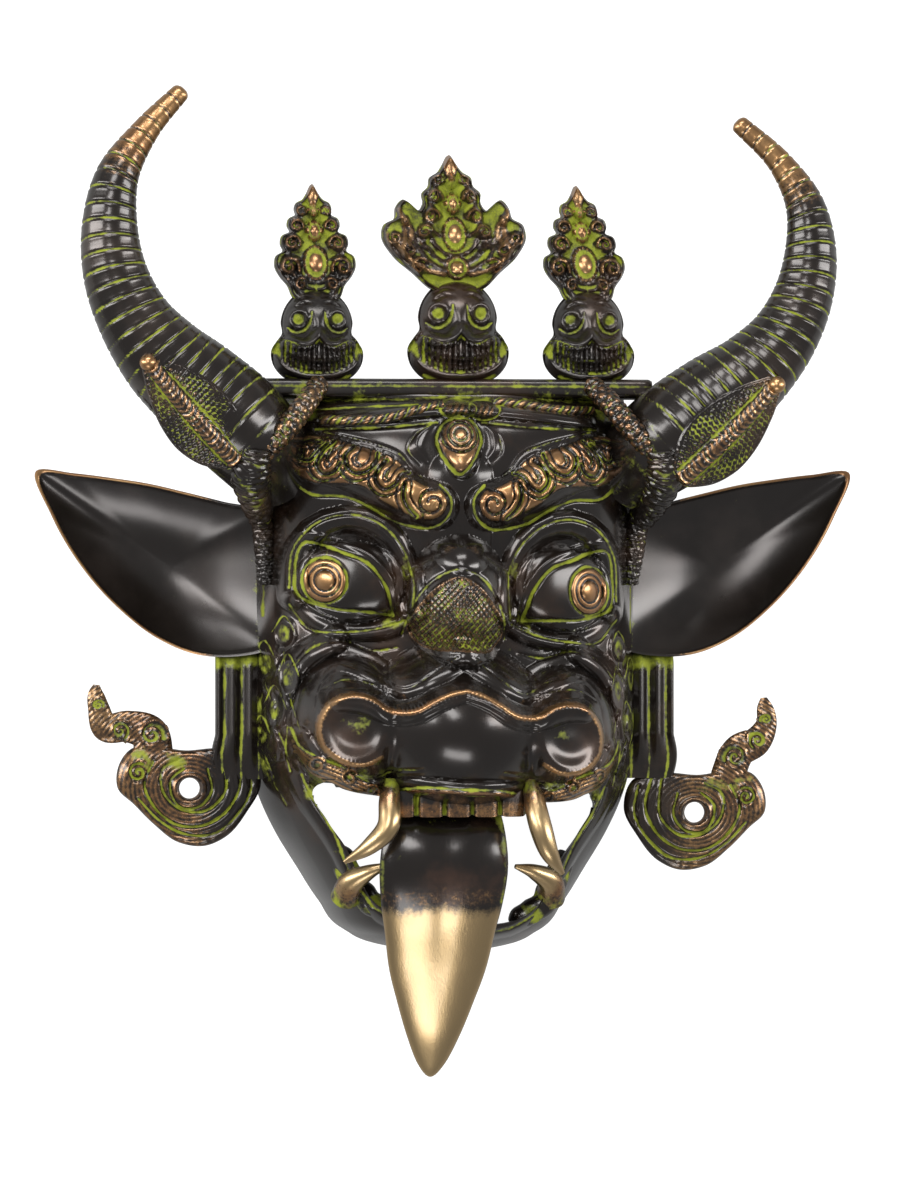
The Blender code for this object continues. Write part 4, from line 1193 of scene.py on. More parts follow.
def crown_point(x, y, z):
    """A point over the rail, leaning back as the crown does."""
    level = np.broadcast_arrays(x, FACE_CROWN + y, RAIL_TOP_DEPTH + z - CROWN_LEAN * y)
    return np.stack(level, axis=-1)


# %% [markdown]
# ## Skulls
#
# Each skull is a cushion: an outline filled with a domed front and a flatter back. The grinning jaws
# have two rows of long teeth, the eyes are rings, and the brow is wrinkled.

# %% Skulls
SKULL_HALF = [(0.0, 0.50), (0.18, 0.46), (0.31, 0.33), (0.37, 0.15), (0.36, 0.03), (0.41, -0.04)]
SKULL_HALF += [(0.47, -0.14), (0.46, -0.27), (0.37, -0.40), (0.20, -0.48), (0.0, -0.50)]


def skull_surface(u, v):
    cranium = dome(u, v, (0, 0.13), (0.36, 0.36), 0.30, 0.5)
    jaw = dome(u, v, (0, -0.22), (0.46, 0.30), 0.30, 0.5)
    form = blended_max(cranium, jaw, 0.06)
    across = np.abs(u)
    form = form - 0.09 * np.exp(-(((across - 0.17) / 0.10) ** 2 + ((v - 0.10) / 0.10) ** 2))
    lip = [(0, 0.02), (0.12, -0.08), (0.30, -0.06), (0.44, -0.02)]
    form = form + roll(across, v, lip, 0.07, 0.07)
    smile = [(0, -0.30), (0.2, -0.27), (0.38, -0.16)]
    return form - roll(across, v, smile, 0.03, 0.05)


def carve_skull(carving):
    """On a grid where the skull is 1 tall."""
    carving.stroke([(0.16, -0.31), (0.30, -0.24), (0.42, -0.12)], 0.062, -0.02, green=0.95, steps=20)
    eye = (0.20, 0.18)
    reach = np.hypot(carving.x - eye[0], carving.y - eye[1])
    carving.green = np.maximum(carving.green, 0.9 * np.exp(-((reach / 0.058) ** 4)))
    carving.stroke(arc(eye, 0.088, 0, 360, 20), 0.022, 0.028, steps=30)
    carving.stroke(arc(eye, 0.034, 0, 360, 12), 0.011, -0.014, steps=16)
    bag = [(0.065, 0.25), (0.085, 0.14), (0.14, 0.065), (0.23, 0.04), (0.31, 0.09)]
    carving.stroke(bag, 0.022, -0.024, green=0.85, steps=22, taper=0.6)
    for k in range(2):
        y = 0.315 + 0.065 * k
        wrinkle = [(0.05, y + 0.02), (0.12, y + 0.035), (0.22, y - 0.01)]
        carving.stroke(wrinkle, 0.020, -0.036, steps=12, taper=0.5)
    lip = [(0, -0.035), (0.06, -0.085), (0.15, -0.105), (0.27, -0.055), (0.38, -0.02), (0.46, -0.045)]
    carving.stroke([(x, y + 0.035) for x, y in lip], 0.034, 0.034, steps=30)
    carving.stroke([(x, y - 0.008) for x, y in lip], 0.010, -0.020, green=0.7, steps=30)
    middle = [(0, -0.245), (0.15, -0.240), (0.30, -0.195), (0.41, -0.120)]
    carving.stroke(middle, 0.011, -0.024, green=0.6, steps=18)
    under = [(0, -0.375), (0.15, -0.360), (0.30, -0.29), (0.43, -0.15)]
    carving.stroke(under, 0.016, -0.026, green=0.95, steps=18)
    for k in range(7):
        u = 0.026 + 0.052 * k
        top, cut, low = (
            float(smooth_curve(u, [p[0] for p in path], [p[1] for p in path]))
            for path in (lip, middle, under)
        )
        side_green = 0.75 * min(max((u - 0.16) / 0.12, 0.0), 1.0)
        for high, foot in ((top - 0.03, cut + 0.012), (cut - 0.015, low + 0.012)):
            carving.stroke([(u + 0.026, high), (u + 0.026, foot)], 0.019, 0.026, copper=0.24, steps=3)
            carving.stroke([(u, high), (u, foot)], 0.0085, -0.026, green=side_green, steps=3)
    chin = [(0, -0.42), (0.18, -0.40), (0.34, -0.33), (0.45, -0.19)]
    carving.stroke(chin, 0.026, 0.030, steps=20)
    carving.stroke([(0, -0.47), (0.18, -0.455), (0.33, -0.40)], 0.018, -0.012, green=0.75, steps=16)


def skull(name, x, height):
    rings = fineness(40)
    u, v, share, front = cushion_grid(both_sides(SKULL_HALF), 4 * rings, rings)
    carving = Carving(np.abs(u), v)
    carve_skull(carving)
    on_front = (front > 0) * unit((1.0 - share) / 0.05)
    bulge = np.where(front > 0, skull_surface(u, v), -0.16 * (1 - share**2))
    bulge = np.where(front == 0, 0.03, bulge) + carving.height * on_front
    points = crown_point(x + u * height, (0.47 + v) * height, bulge * height)
    marks = front_marks(carving, front)
    return sheet(name, points, marks, crown_brass, wrap=True, flip=True)


# %% [markdown]
# ## Crests
#
# On each skull stands a leaf of scrollwork: a jewel at the foot, oval jewels in beaded rims above it,
# clusters of beads, pairs of C-scrolls at the sides and a pointed bud at the top. The ground between
# them is solid green.

# %% Crests
SIDE_CREST_HALF = [(0.0, 1.00), (0.055, 0.91), (0.09, 0.86), (0.155, 0.82), (0.17, 0.76)]
SIDE_CREST_HALF += [(0.16, 0.72), (0.225, 0.68), (0.24, 0.61), (0.22, 0.565), (0.295, 0.52)]
SIDE_CREST_HALF += [(0.31, 0.44), (0.29, 0.385), (0.355, 0.335), (0.37, 0.24), (0.33, 0.15)]
SIDE_CREST_HALF += [(0.26, 0.06), (0.22, -0.04)]
MIDDLE_CREST_HALF = [(0.0, 1.00), (0.055, 0.92), (0.09, 0.87), (0.16, 0.82), (0.17, 0.76), (0.225, 0.70)]
MIDDLE_CREST_HALF += [(0.22, 0.63), (0.255, 0.57), (0.385, 0.65), (0.435, 0.59), (0.45, 0.505)]
MIDDLE_CREST_HALF += [(0.535, 0.455), (0.555, 0.37), (0.48, 0.22), (0.33, 0.08), (0.20, -0.04)]
CREST_MIDDLE = 0.33


def crest_surface(u, v, wings):
    across = np.abs(u)
    form = 0.06 + np.zeros(np.shape(u))
    levels = ((0.12, 0.09), (0.38, 0.12), (0.62, 0.08), (0.79, 0.05))
    if not wings:
        levels = ((0.27, 0.14), (0.57, 0.10), (0.75, 0.06))
    for level, size in levels:
        form = form + dome(across, v, (0, level), (size * 0.8, size), 0.06, 0.5)
    for level, out in ((0.24, 0.25), (0.42, 0.19), (0.56, 0.15), (0.70, 0.11)):
        form = form + dome(across, v, (out, level), (0.07, 0.07), 0.05)
    if wings:
        wing = [(0.14, 0.10), (0.30, 0.20), (0.44, 0.34), (0.46, 0.48), (0.38, 0.52)]
        form = form + roll(across, v, wing, 0.08, 0.06)
    return form


def jewel(carving, centre, radius, squash, beads):
    """An oval jewel in a beaded rim."""
    rim = arc(centre, radius * 1.42, 0, 360, 28, squash)
    carving.stroke(rim, radius * 0.34, 0.020, copper=0.45, steps=40)
    for k in range(beads):
        turn = 2 * math.pi * (k + 0.5) / beads
        x = centre[0] + 1.42 * radius * math.cos(turn)
        y = centre[1] + 1.42 * radius * squash * math.sin(turn)
        if x >= -0.01:
            carving.boss((x, y), radius * 0.22, 0.012, green=0.3, copper=0.6)
    carving.boss(centre, radius, 0.034, green=1.0, copper=0.9, squash=squash)


def flower(carving, level, size):
    """A cluster of beads round a larger one."""
    for turn in (-60, 0, 60):
        x = 1.5 * size * math.cos(math.radians(turn))
        y = level + 1.7 * size * math.sin(math.radians(turn))
        carving.boss((x, y), size * 0.72, 0.022, green=0.8, copper=0.75)
    for y in (level + 1.9 * size, level - 1.9 * size):
        carving.boss((0, y), size * 0.72, 0.022, green=0.8, copper=0.75)
    carving.boss((0, level), size, 0.036, green=0.9, copper=0.9, squash=1.3)


SIDE_SCROLLS = ((0.245, 0.23, 0.098, 200), (0.205, 0.45, 0.074, 190), (0.160, 0.61, 0.060, 190))
SIDE_SCROLLS += ((0.115, 0.745, 0.045, 190), (0.14, 0.075, 0.050, 120))
WING_SCROLLS = ((0.17, 0.52, 0.056, 190), (0.135, 0.67, 0.052, 190), (0.23, 0.40, 0.050, 160))
WING_SCROLLS += ((0.470, 0.35, 0.055, 30), (0.29, 0.13, 0.060, 140), (0.36, 0.26, 0.048, 60))
WING_SCROLLS += ((0.10, 0.80, 0.036, 190),)


def carve_crest(carving, wings):
    """On a grid where the crest is 1 tall from its foot."""
    carving.green[:] = 0.92
    for x, y, radius, start in WING_SCROLLS if wings else SIDE_SCROLLS:
        carving.stroke(arc((x, y), radius * 0.6, 0, 360, 12), radius * 0.5, 0.02, copper=0.22, steps=16)
        carving.stroke(coil((x, y), radius, start, -1.35), 0.022, 0.040, copper=0.60, steps=30)
        carving.stroke(coil((x, y), radius * 0.72, start, -1.0), 0.009, -0.016, green=0.8, steps=20)
        tail = [(x + radius * 0.9, y - 0.02), (x + radius * 0.6, y - 0.09), (x - radius * 0.9, y - 0.15)]
        carving.stroke(tail, 0.024, 0.032, copper=0.36, steps=12, taper=0.4)
    if wings:
        for start, end in (((0.41, 0.28), (0.420, 0.57)), ((0.36, 0.30), (0.375, 0.50))):
            carving.stroke([start, (start[0] - 0.03, 0.40), end], 0.030, 0.040, copper=0.56, steps=14)
        for reach in (0.185, 0.250, 0.315):
            cup = arc((0, 0.40), reach, -88, -8, 12)
            carving.stroke(cup, 0.023, 0.034, copper=0.34, steps=22, taper=0.3)
        lower = [(0.10, 0.07), (0.24, 0.10), (0.38, 0.20), (0.47, 0.31)]
        carving.stroke(lower, 0.026, 0.038, copper=0.60, steps=22)
        jewel(carving, (0, 0.38), 0.058, 1.5, 18)
        jewel(carving, (0, 0.12), 0.056, 1.0, 12)
        flower(carving, 0.62, 0.034)
        flower(carving, 0.80, 0.022)
    else:
        for reach in (0.17, 0.225, 0.285):
            cup = arc((0, 0.27), reach, -86, 10, 12, 1.1)
            carving.stroke(cup, 0.020, 0.030, copper=0.32, steps=22, taper=0.3)
        jewel(carving, (0, 0.27), 0.072, 1.45, 18)
        flower(carving, 0.565, 0.042)
        flower(carving, 0.76, 0.027)
    carving.boss((0, 0.915), 0.066, 0.07, copper=0.62, squash=2.0)


def crest(name, x, foot, height, half, wings, lean_out):
    rings = fineness(42)
    outline = [(u, v - CREST_MIDDLE) for u, v in both_sides(half)]
    u, v, share, front = cushion_grid(outline, 4 * rings, rings)
    v = v + CREST_MIDDLE
    carving = Carving(np.abs(u), v)
    carve_crest(carving, wings)
    on_front = (front > 0) * unit((1.0 - share) / 0.04)
    bulge = np.where(front > 0, crest_surface(u, v, wings), -0.06)
    rim = mark(share - 0.96, 0.035) * (front > 0)
    bulge = np.where(front == 0, 0.0, bulge) + (carving.height + 0.03 * rim) * on_front
    points = crown_point(x + (u + lean_out * v) * height, foot + v * height, bulge * height)
    green = np.where(front > 0, carving.green * (1 - 0.85 * rim), 0.3)
    copper = np.where(front == 0, 0.45, np.maximum(carving.copper, 0.34 * rim) * (front > 0))
    return sheet(name, points, {"green": green, "copper": copper}, crown_brass, wrap=True, flip=True)


MIDDLE_SKULL_SIDEWAYS = 2.5
CREST_FOOT_SHARE = 0.93
for name, x, skull_height, crest_height, half, lean_out in (
    ("Left", -SKULL_SPACING, SIDE_SKULL, SIDE_CREST, SIDE_CREST_HALF, -0.03),
    ("Middle", MIDDLE_SKULL_SIDEWAYS, MIDDLE_SKULL, MIDDLE_CREST, MIDDLE_CREST_HALF, -0.05),
    ("Right", SKULL_SPACING, SIDE_SKULL, SIDE_CREST, SIDE_CREST_HALF, -0.09),
):
    skull(f"{name} skull", x, skull_height)
    foot = CREST_FOOT_SHARE * skull_height
    crest(f"{name} crest", x, foot, crest_height, half, name == "Middle", lean_out)
print("crown made", len(pieces), "pieces so far")

# %% [markdown]
# ## Horns
#
# A horn is a long tapering tube on a bent line. Thirty grooves ring it, bowed towards the tip as the
# chaser's cut followed the round. Green sits in the grooves and the tip is rubbed to copper.

# %% Horns
HORN_BENDS = {
    -1: [
        (-250, 160, -20, 0.84),
        (-300, 215, 40, 1.00),
        (-368, 275, 62, 0.97),
        (-420, 320, 78, 0.86),
        (-462, 372, 92, 0.72),
        (-492, 440, 104, 0.62),
        (-500, 510, 112, 0.53),
        (-490, 575, 118, 0.42),
        (-452, 638, 122, 0.27),
        (-396, 700, 124, 0.17),
    ],
    1: [
        (250, 160, -20, 0.84),
        (306, 208, 40, 1.00),
        (372, 262, 62, 0.94),
        (424, 304, 78, 0.80),
        (467, 354, 92, 0.67),
        (494, 414, 104, 0.58),
        (503, 476, 112, 0.50),
        (494, 540, 118, 0.38),
        (460, 598, 122, 0.25),
        (394, 660, 124, 0.17),
    ],
}
HORN_RINGS = 31
HORN_ROOT_SIDEWAYS = 86.0
HORN_ROOT_DEPTH = 66.0
HORN_COPPER_TIP = 70.0
HORN_ROOT_LENGTH = 34.0


def horn_line(side, count):
    rows = np.array(HORN_BENDS[side], float)
    places = rows[:, :3] * HORN_SPAN / 1000 + (0, 0, HORN_ROOT_DEPTH)
    places[0, 0] = side * HORN_ROOT_SIDEWAYS
    return smooth_path(np.column_stack([places, rows[:, 3] * HORN_RADIUS]), count)


def horn(side):
    rows = fineness(460)
    line = horn_line(side, rows)
    length = np.linalg.norm(np.diff(line[:, :3], axis=0), axis=1).sum()
    tip = unit((np.arange(rows) - 0.985 * rows) / (0.015 * rows))
    radii = line[:, 3] * np.sqrt(unit(1.0 - tip**2)) + 0.05

    def rings(along, turn, radius, place):
        bowed = along - 0.30 * radius * np.sin(turn)
        pitch = length / HORN_RINGS
        distance = (0.5 - np.abs((bowed / pitch) % 1.0 - 0.5)) * pitch
        cut = mark(distance, 0.55)
        lip = mark(distance - 1.4, 0.7)
        to_tip = unit(1.0 - (length - along) / HORN_COPPER_TIP)
        rooted = unit((along - HORN_ROOT_LENGTH) / 12.0)
        height = (0.14 * lip - 0.70 * cut) * (1.0 - 0.5 * to_tip) * rooted
        copper = np.clip(1.2 * to_tip, 0.0, 0.66) * (1 - 0.5 * cut) + 0.12 * lip * rooted
        green = 0.80 * cut * (1.0 - 0.7 * to_tip) * rooted + 0.24 * (1.0 - rooted)
        return height, {"green": green, "copper": copper}

    return tube(f"{SIDE_NAMES[side]} horn", line[:, :3], radii, horn_brass, sides=48, relief=rings)


for side in SIDES:
    horn(side)
print("horns made")

# %% [markdown]
# ## Snakes
#
# A snake lies over each horn: a spread hood with a ladder of belly plates down its middle and scales
# to both sides, a knotted neck, one strand up to the crown and a tail down the temple.

# %% Hoods
HOODS = {-1: ((-133, 85, 107), 48), 1: ((133, 76, 107), 46)}
HOOD_HALF = [(0.0, 1.00), (0.18, 0.97), (0.40, 0.80), (0.72, 0.45), (0.95, 0.05), (1.00, -0.25)]
HOOD_HALF += [(0.85, -0.60), (0.50, -0.88), (0.25, -1.00), (0.0, -1.02)]


def carve_hood(carving):
    """On a grid in millimetres, with the snout at the top."""
    x, y = carving.x, carving.y
    row = np.floor(y / 2.4)
    scale_x = (x + 1.5 * (row % 2)) % 3.0 - 1.5
    scale_y = y % 2.4 - 0.2
    reach = np.hypot(scale_x, scale_y)
    carving.height += 0.6 * unit(1.0 - (reach / 1.9) ** 2)
    arc_line = mark(reach - 1.75, 0.38)
    outer = unit((np.abs(x) - 4.0) / 10.0)
    carving.green = np.maximum(carving.green, 0.66 * arc_line)
    carving.copper = np.maximum(carving.copper, (0.50 - 0.3 * outer) * (1 - arc_line))
    in_band = (np.abs(x) < 3.9) & (y < 30)
    ladder = (0.5 + 0.5 * np.cos(2 * math.pi * (y - 0.12 * x**2) / 3.1)) ** 0.7
    band = np.sqrt(unit(1.0 - (x / 4.4) ** 2))
    carving.height = np.where(in_band, 1.2 * band + 0.9 * ladder, carving.height)
    carving.copper = np.where(in_band, 0.72 * ladder, carving.copper)
    carving.green = np.where(in_band, 0.30 * (1 - ladder) ** 2, carving.green)
    run = [(4.8, -34), (5.2, 0), (4.2, 26)]
    carving.stroke(run, 0.55, height=-0.9, green=0.9, steps=12)
    rim = [(0.97 * a * HOOD_WIDTH / 2, 0.96 * b * HOOD_LENGTH / 2) for a, b in HOOD_HALF]
    carving.stroke(rim, 0.9, height=0.6, copper=0.25, steps=40)


def hood(side):
    middle, rise_angle = HOODS[side]
    turn = math.radians(rise_angle)
    along = np.array((side * math.cos(turn), math.sin(turn), 0.16))
    along /= np.linalg.norm(along)
    across = np.array((-side * math.sin(turn), math.cos(turn), 0.30))
    across /= np.linalg.norm(across)
    out = np.cross(along, across) * side
    rings = fineness(38)
    u, v, share, front = cushion_grid(both_sides(HOOD_HALF), 5 * rings, rings)
    carving = Carving(np.abs(u) * HOOD_WIDTH / 2, v * HOOD_LENGTH / 2)
    carve_hood(carving)
    ridge = 4.0 * (1 - share**2) + 2.4 * mark(u, 0.26) * (1 - share**4)
    on_front = (front > 0) * unit((1.0 - share) / 0.05)
    rise = np.where(front > 0, ridge, -12.0 * (1 - share**4)) + carving.height * on_front
    points = (
        np.array(middle, float)
        + (v * HOOD_LENGTH / 2)[..., None] * along
        + (u * HOOD_WIDTH / 2)[..., None] * across
        + rise[..., None] * out
    )
    marks = front_marks(carving, front)
    name = SIDE_NAMES[side]
    sheet(f"{name} snake hood", points, marks, snake_brass, wrap=True, flip=side > 0)
    snout = np.array(middle, float) + along * (0.93 * HOOD_LENGTH / 2) + out * 3.0
    ball(f"{name} snake snout", snout, 4.2)


def ball(name, centre, radius):
    """A small round head with a rubbed top."""
    slant = np.linspace(0.0, math.pi, 18)
    line = np.array(centre, float) + np.outer(-radius * np.cos(slant), (0.0, 1.0, 0.0))
    radii = radius * np.sin(slant) + 0.01
    marks = plain_marks((18, 28), copper=0.95)
    return tube(name, line, radii, snake_brass, marks=marks)


for side in SIDES:
    hood(side)

# %% Snake bodies
SNAKE_STRANDS = {
    "neck": [(101, 68, 99, 1.7), (103, 56, 93, 2.0), (100, 43, 80, 1.6), (96, 32, 64, 1.0)],
    "rising strand": [(97, 64, 97, 0.9), (86, 76, 99, 1.0), (75, 90, 92, 1.0), (68, 99, 80, 0.9)],
    "tail": [(99, 48, 72, 1.0), (95, 34, 58, 1.0), (93, 16, 51, 0.9), (92, 0, 47, 0.6)],
}
SCALE_PITCH = 3.3


def scaly(along, turn, radius, place):
    """Rows of overlapping glossy scales round a snake's body, none quite like the next."""
    drift = along + 0.5 * np.sin(3 * turn + 0.6 * along)
    row = np.floor(drift / SCALE_PITCH)
    phase_u = (turn / (2 * math.pi) * 7 + 0.5 * (row % 2)) % 1.0 - 0.5
    phase_v = (drift / SCALE_PITCH) % 1.0 - 0.5
    scale = unit(1.0 - 3.2 * (phase_u**2 + phase_v**2)) ** 0.6
    return 1.3 * scale, {"green": 0.42 * (1 - scale), "copper": 0.14 * scale}


def rubbed_scales(along, turn, radius, place):
    """The strand over the brow is rubbed to copper."""
    height, found = scaly(along, turn, radius, place)
    return height, {"green": found["green"], "copper": 4.2 * found["copper"]}


for side in SIDES:
    for part, rows in SNAKE_STRANDS.items():
        line = smooth_path([(side * x, y, z, r) for x, y, z, r in rows], 64)
        name = f"{SIDE_NAMES[side]} snake {part}"
        skin = rubbed_scales if part == "rising strand" else scaly
        tube(name, line[:, :3], line[:, 3] * SNAKE_RADIUS, snake_brass, sides=34, relief=skin)
print("snakes made", len(pieces), "pieces so far")

# %% [markdown]
# ## Ears
#
# The ears are cupped leaves, smooth and glossy inside, with the rim rubbed to a thin copper line. A
# cushion whose front sinks instead of rising makes the cup.

# %% Ears
EAR_OUTLINE = [(1.00, 0.43), (0.84, 0.42), (0.68, 0.40), (0.52, 0.375), (0.37, 0.34), (0.21, 0.30)]
EAR_OUTLINE += [(0.02, 0.25), (-0.05, 0.0), (0.0, -0.32), (0.17, -0.36), (0.32, -0.35)]
EAR_OUTLINE += [(0.48, -0.285), (0.65, -0.155), (0.82, 0.04), (0.935, 0.24)]
EAR_MIDDLE = np.array((0.42, 0.02))
EAR_ROOT = (88.0, 6.0, 34.0)


def ear(side):
    rings = fineness(28)
    outline = np.array(EAR_OUTLINE) - EAR_MIDDLE
    u, v, share, front = cushion_grid(outline, 5 * rings, rings)
    cup = EAR_CUP * (1 - share**2) + 0.25 * np.sin(9 * u + 3) * np.cos(11 * v) * (1 - share)
    skin = EAR_WALL * np.where(front > 0, 0.0, np.where(front < 0, 1.0, 0.5))
    lip = 0.7 * mark(share - 0.975, 0.02) * (front > 0)
    x = side * (EAR_ROOT[0] + (u + EAR_MIDDLE[0]) * EAR_LENGTH)
    y = EAR_ROOT[1] + (v + EAR_MIDDLE[1]) * EAR_LENGTH
    z = EAR_ROOT[2] - 8.0 * u - cup - skin + lip
    rim = unit((share - 0.955) / 0.02)
    outer = unit((u + 0.25) / 0.2)
    green = 0.7 * mark(u + 0.40, 0.05) * (front > 0)
    low_side = np.clip(0.3 - v, 0.0, 0.6) / 0.6
    glow = 0.34 * unit((share - 0.80) / 0.2) ** 2 * low_side * (front > 0)
    marks = {"green": green, "copper": np.maximum(0.9 * rim, glow) * outer}
    points = np.stack([x, y, z], axis=-1)
    return sheet(f"{SIDE_NAMES[side]} ear", points, marks, ear_brass, wrap=True, flip=side < 0)


for side in SIDES:
    ear(side)
print("ears made")

# %% [markdown]
# ## Ribbons and cloud scrolls
#
# From behind each ear a fluted ribbon hangs and rolls into a cloud scroll with a hole through its
# middle and a tail that curls up. The scroll is a flat plate, so its outline is filled and its carved
# lines follow rings around the hole.

# %% Ribbons
RIBBON_TOP = -28.0
RIBBON_FOOT = -98.0
RIBBON_RISE = 31.2


def ribbon(side):
    top, foot = RIBBON_TOP, RIBBON_FOOT
    across = np.linspace(-0.1, 1.0, 50)
    down = np.linspace(foot, top, 60)
    grid_across, grid_down = np.meshgrid(across, down)
    fade = unit((grid_down - foot) / 22.0)
    flute = np.cos(6 * math.pi * grid_across)
    edge = unit((1.0 - grid_across) / 0.06) ** 0.5
    x = side * (90.0 + grid_across * (RIBBON_WIDTH + 2.0 * np.sin(math.pi * fade) * grid_across))
    under_ear = unit((grid_down + 40.0) / 10.0)
    sunk = unit((foot + 16.0 - grid_down) / 16.0) ** 2
    z = RIBBON_RISE + 2.6 * fade - 4.0 * (1 - edge) + 1.3 * flute * fade - 5.5 * under_ear - 0.9 * sunk
    front = np.stack([x, grid_down, z], axis=-1)
    back = front[:, ::-1] * (1, 1, 0) + (0, 0, 26.0)
    points = np.concatenate([front, back], axis=1)
    cut = unit(-flute) ** 5
    root = mark(top - grid_down - 8.0, 7.0)
    green = np.concatenate([np.maximum(0.72 * cut, 0.85 * root), 0.1 * np.ones(x.shape)], axis=1)
    copper = np.concatenate([0.22 * unit(flute) ** 4, 0.0 * x], axis=1)
    marks = {"green": green, "copper": copper}
    name = f"{SIDE_NAMES[side]} ribbon"
    return sheet(name, points, marks, scroll_brass, wrap=True, closed=True, flip=side < 0)


# %% Scrolls
SCROLL_OUTLINE = [(36, 10), (29, 20), (18, 21), (2, 19), (-14, 20), (-32, 16), (-36, 2), (-29, -12)]
SCROLL_OUTLINE += [(-19, -24), (-8, -29), (6, -27), (18, -18), (28, -8), (36, 0)]
SCROLL_TAILS = {
    -1: [(17, 4, 12), (18, 17, 10), (20, 27, 9.5), (31, 31, 8)]
    + [(42, 30.5, 7), (45.5, 40, 5.5), (47, 48.5, 3.6), (46.6, 52, 1.6)],
    1: [(17, 4, 11), (18, 20, 9), (23, 31, 8.5), (32, 36, 7.5)]
    + [(37, 45, 5.4), (36, 54.5, 3.6), (35.6, 58, 1.6)],
}
SCROLL_HOLES = {-1: (-129.0, -102.5, 27.0), 1: (127.0, -115.5, 27.0)}
SCROLL_GROOVES = (
    [(-13.5, 30), (-18, 12), (-17.3, -2.8), (-7.3, -11.5), (6.5, -9.5), (14, 0), (13.4, 9.8), (5, 14.8)],
    [(-19, 27), (-25, 0), (-18.5, -11.5), (-7.3, -18.5), (6.5, -18.2), (17.8, -9.5), (22.8, 3), (18, 14)],
    [(-29, 14), (-31, 0), (-23.5, -14), (-12.3, -22.8), (3, -22.8), (16, -15.5), (26, -5)],
    [(-9, 10), (-10.8, -2), (-5, -9), (4, -10), (9, -4), (9.5, 4), (3, 10)],
)
SCROLL_CURLS = {
    -1: ((19, 27, 7.5, 200), (35, 29, 5.5, 240), (26, 8, 6.0, 120), (46, 42, 3.2, 200)),
    1: ((20.5, 28, 7.5, 200), (32, 36.5, 5.5, 240), (26, 8, 6.0, 120), (36.5, 47, 3.2, 200)),
}


def carve_scroll(carving, side):
    """On the scroll's own grid around its hole, with the ribbon side to the left."""
    x, y = carving.x, carving.y
    carving.copper[:] = 0.14 + 0.42 * unit((x + 24) / 22)
    carving.wash((8, 14), (10, 5), green=0.60)
    carving.wash((24, 14), (6, 8), green=0.55)
    for path in SCROLL_GROOVES:
        carving.stroke(path, 0.75, height=-1.5, green=0.95, steps=44, taper=0.3)
    for turn in np.radians(np.linspace(150, 285, 64)):
        way = np.array((math.cos(turn), 0.86 * math.sin(turn)))
        carving.stroke([way * 29.0, way * 33.5], 0.30, height=-0.45, steps=2)
    for cx, cy, radius, start in SCROLL_CURLS[side]:
        carving.stroke(coil((cx, cy), radius, start, -1.7), 1.15, height=1.2, copper=0.66, steps=44)
        carving.stroke(coil((cx, cy), radius * 0.82, start, -1.5), 0.65, height=-1.1, green=0.9, steps=40)
    reach = np.hypot(x, y)
    streak = 0.5 + 0.5 * np.cos(2 * math.pi * np.hypot(x, 1.15 * y) / 2.3)
    carving.height += 1.1 * mark(reach - 7.0, 1.2) - 0.25 * streak
    carving.copper *= 1.0 - 0.34 * streak


def scroll(side):
    """A ring-shaped plate: columns run round the hole, rows from the hole over the rim and back."""
    centre = SCROLL_HOLES[side]
    count, rings = fineness((190, 48))
    edge = smooth_loop(SCROLL_OUTLINE, count)
    turn = np.arctan2(edge[:, 1], edge[:, 0])
    hole = np.column_stack([np.cos(turn), np.sin(turn)]) * SCROLL_HOLE_RADIUS
    share = np.concatenate([np.linspace(0, 1, rings), np.linspace(1, 0, rings // 4)])
    front = np.concatenate([np.ones(rings), -np.ones(rings // 4)])
    flat = hole[None] + share[:, None, None] * (edge - hole)[None]
    carving = Carving(flat[..., 0], flat[..., 1])
    carve_scroll(carving, side)
    share = np.repeat(share[:, None], count, axis=1)
    front = np.repeat(front[:, None], count, axis=1)
    rim = np.sqrt(unit(1.0 - share**8)) * np.clip(share / 0.04, 0.35, 1.0)
    rise = np.where(front > 0, RIBBON_THICKNESS * 0.5 + carving.height, -RIBBON_THICKNESS * 0.5)
    points = np.stack(
        [centre[0] + side * flat[..., 0], centre[1] + flat[..., 1], centre[2] + rise * rim], axis=-1
    )
    marks = front_marks(carving, front)
    points = np.concatenate([points, points[:1]], axis=0)
    marks = {key: np.vstack([values, values[:1]]) for key, values in marks.items()}
    name = f"{SIDE_NAMES[side]} scroll"
    return sheet(name, points, marks, scroll_brass, wrap=True, flip=side < 0)


def scroll_tail(side):
    centre = SCROLL_HOLES[side]
    line = smooth_path(SCROLL_TAILS[side], fineness(110))
    path = np.column_stack([centre[0] + side * line[:, 0], centre[1] + line[:, 1], 0 * line[:, 0]])

    def curls(along, turn, radius, place):
        carving = Carving(side * (place[..., 0] - centre[0]), place[..., 1] - centre[1])
        carve_scroll(carving, side)
        on_front = unit(np.sin(turn) * 2)
        return 1.9 * carving.height * on_front, marks_of(carving)

    name = f"{SIDE_NAMES[side]} scroll tail"
    made = tube(name, path, line[:, 2], scroll_brass, sides=72, relief=curls)
    flat = 0.5 * RIBBON_THICKNESS / line[:, 2].max()
    for vert in made.data.vertices:
        vert.co.z = vert.co.z * flat * 1.05 + centre[2] * MM
    return made


for side in SIDES:
    ribbon(side)
    scroll(side)
    scroll_tail(side)
print("ribbons made", len(pieces), "pieces so far")

# %% [markdown]
# ## The mouth
#
# The upper teeth are one bent plate with notches. The fangs are tapering tubes, polished bare. The
# tongue hangs over the chin with a soft groove down its middle, dark at the root and polished from
# about the chin on, with a ragged edge where the polishing stopped.

# %% Teeth
TEETH_MIDDLE = (-1.0, -107.0, 100.0)


